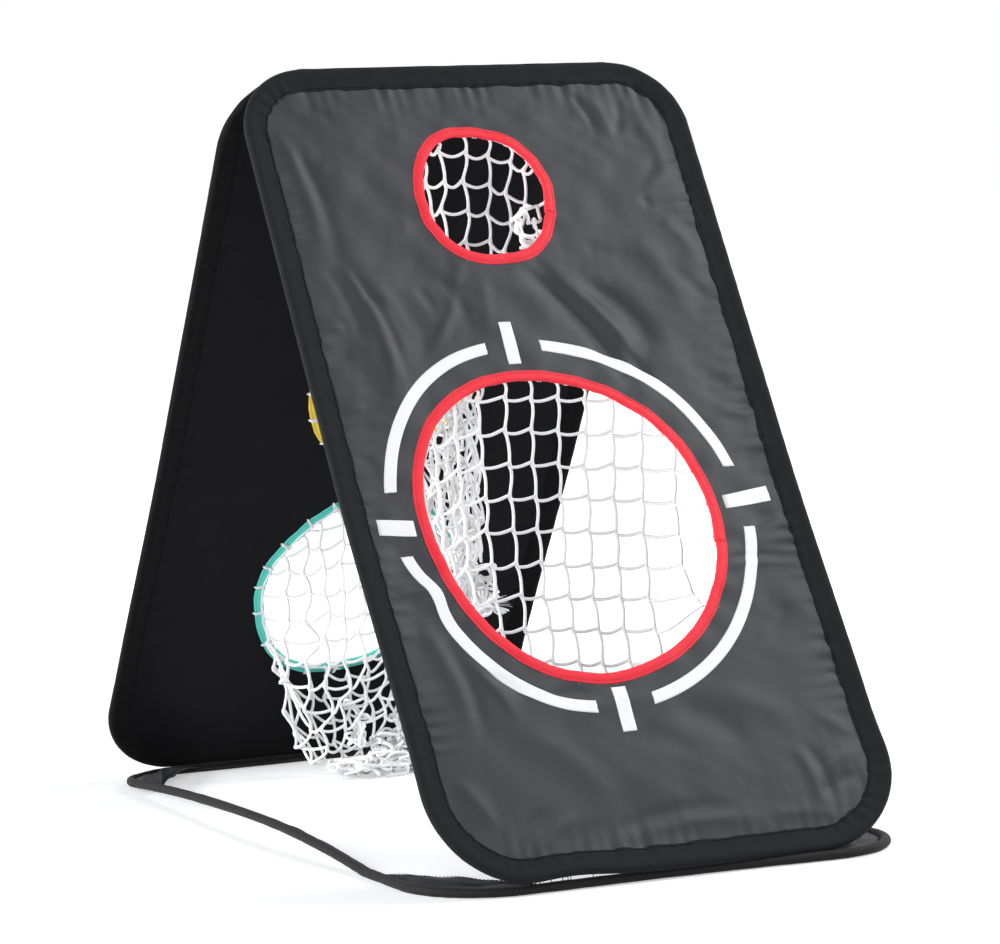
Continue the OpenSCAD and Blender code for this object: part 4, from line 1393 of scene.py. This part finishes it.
def profile_normals(profile):
    ahead = unit(np.gradient(profile, axis=0))
    return np.stack([-ahead[:, 1], ahead[:, 0]], -1)


def ridge_seam():
    # Up over the back sleeve's shoulder, down into the valley, and up over the front one
    turns = np.radians(np.linspace(78, 142, 9))
    shoulder = np.stack([pair_gap + (SLEEVE_R + 0.3) * np.cos(turns),
                         ridge_z + (SLEEVE_R + 0.3) * np.sin(turns)], -1)
    shoulder = shoulder[shoulder[:, 0] > 0.4]
    valley = np.array([[0.0, shoulder[-1, 1] - 0.25]])
    profile = np.concatenate([shoulder, valley, shoulder[::-1] * [-1, 1]])
    _, high = box_mm("ridge_seam_tape")
    made = swept_strip("ridge_seam_strip", profile, -profile_normals(profile), high[0], SEAM_THICK, 131)
    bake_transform(made)
    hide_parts("ridge_seam_tape")


ridge_seam()


# ---- Rear hinge ----
# A web of the same tape joins the back panel's foot to the ground hoop. It is sewn to
# the outside of both sleeves and folds along the hinge line between them.

WEB_THICK = 0.9


def rear_web():
    _, upper_high = box_mm("rear_hinge_web_upper")
    _, lower_high = box_mm("rear_hinge_web_lower")
    hinge_y = lower_high[1] + 0.6
    # Over the foot sleeve's outer side, down the slope to the fold, and in under the hoop
    tangent = on_panel(BACK, 0, panel_length - SLEEVE_R, SLEEVE_R + 0.5)[1:]
    start = tangent - on_slope(BACK)[1:] * 9
    fold = np.array([hinge_y + 0.9, 0.75])
    inside = np.array([base_run, 0.55])
    t = np.linspace(0, 1, 5)[:, None]
    profile = np.concatenate([start + (tangent - start) * t, (tangent + (fold - tangent) * t)[1:-1],
                              [fold + [-0.15, 0.5], fold + [-0.1, 0.0]],
                              (fold + (inside - fold) * t)[1:]])
    made = swept_strip("rear_hinge_web", profile, profile_normals(profile), upper_high[0],
                       WEB_THICK, 141)
    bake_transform(made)
    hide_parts("rear_hinge_web_upper", "rear_hinge_web_lower")


rear_web()


# ---- Front foot threads ----
# A few bar tacks of black thread catch the front panel's foot to the ground hoop. Each
# crosses the gap, so its upper part stays with the panel and its lower part with the hoop.

TACK_R = 0.45
# Each tack: its place across, and half of how far it leans aside
TACKS = ((-168, 3.0), (-158, 2.2), (-146, 2.6), (-132, 1.6), (-128, 2.4), (-124, 2.0), (-100, 2.2),
         (28, 1.2), (34, 1.6), (40, 1.2), (150, 1.4), (157, 1.4))


def foot_threads():
    draw = np.random.default_rng(171)
    upper_runs, lower_runs = [], []
    for x, lean_aside in TACKS:
        s = panel_length - 1.2
        high = on_panel(FRONT, x + drift(FRONT, x, s), s - foot_bow(FRONT, x, s))
        low = on_ground(x + lean_aside * 2 + 6, -base_run, SLEEVE_R - 0.5)
        middle = (high + low) / 2 + [draw.uniform(-1, 1), -0.6, 0]
        t = np.linspace(0, 1, 6)[:, None]
        upper_runs.append((high + (middle - high) * t, TACK_R))
        lower_runs.append((middle + (low - middle) * t, TACK_R))
    for name, runs, body in (("front_foot_threads_upper", upper_runs, "front_panel"),
                             ("front_foot_threads_lower", lower_runs, "ground_hoop")):
        points, faces = cord_tubes(runs)
        piece(name, points, faces, black_thread, body)


foot_threads()
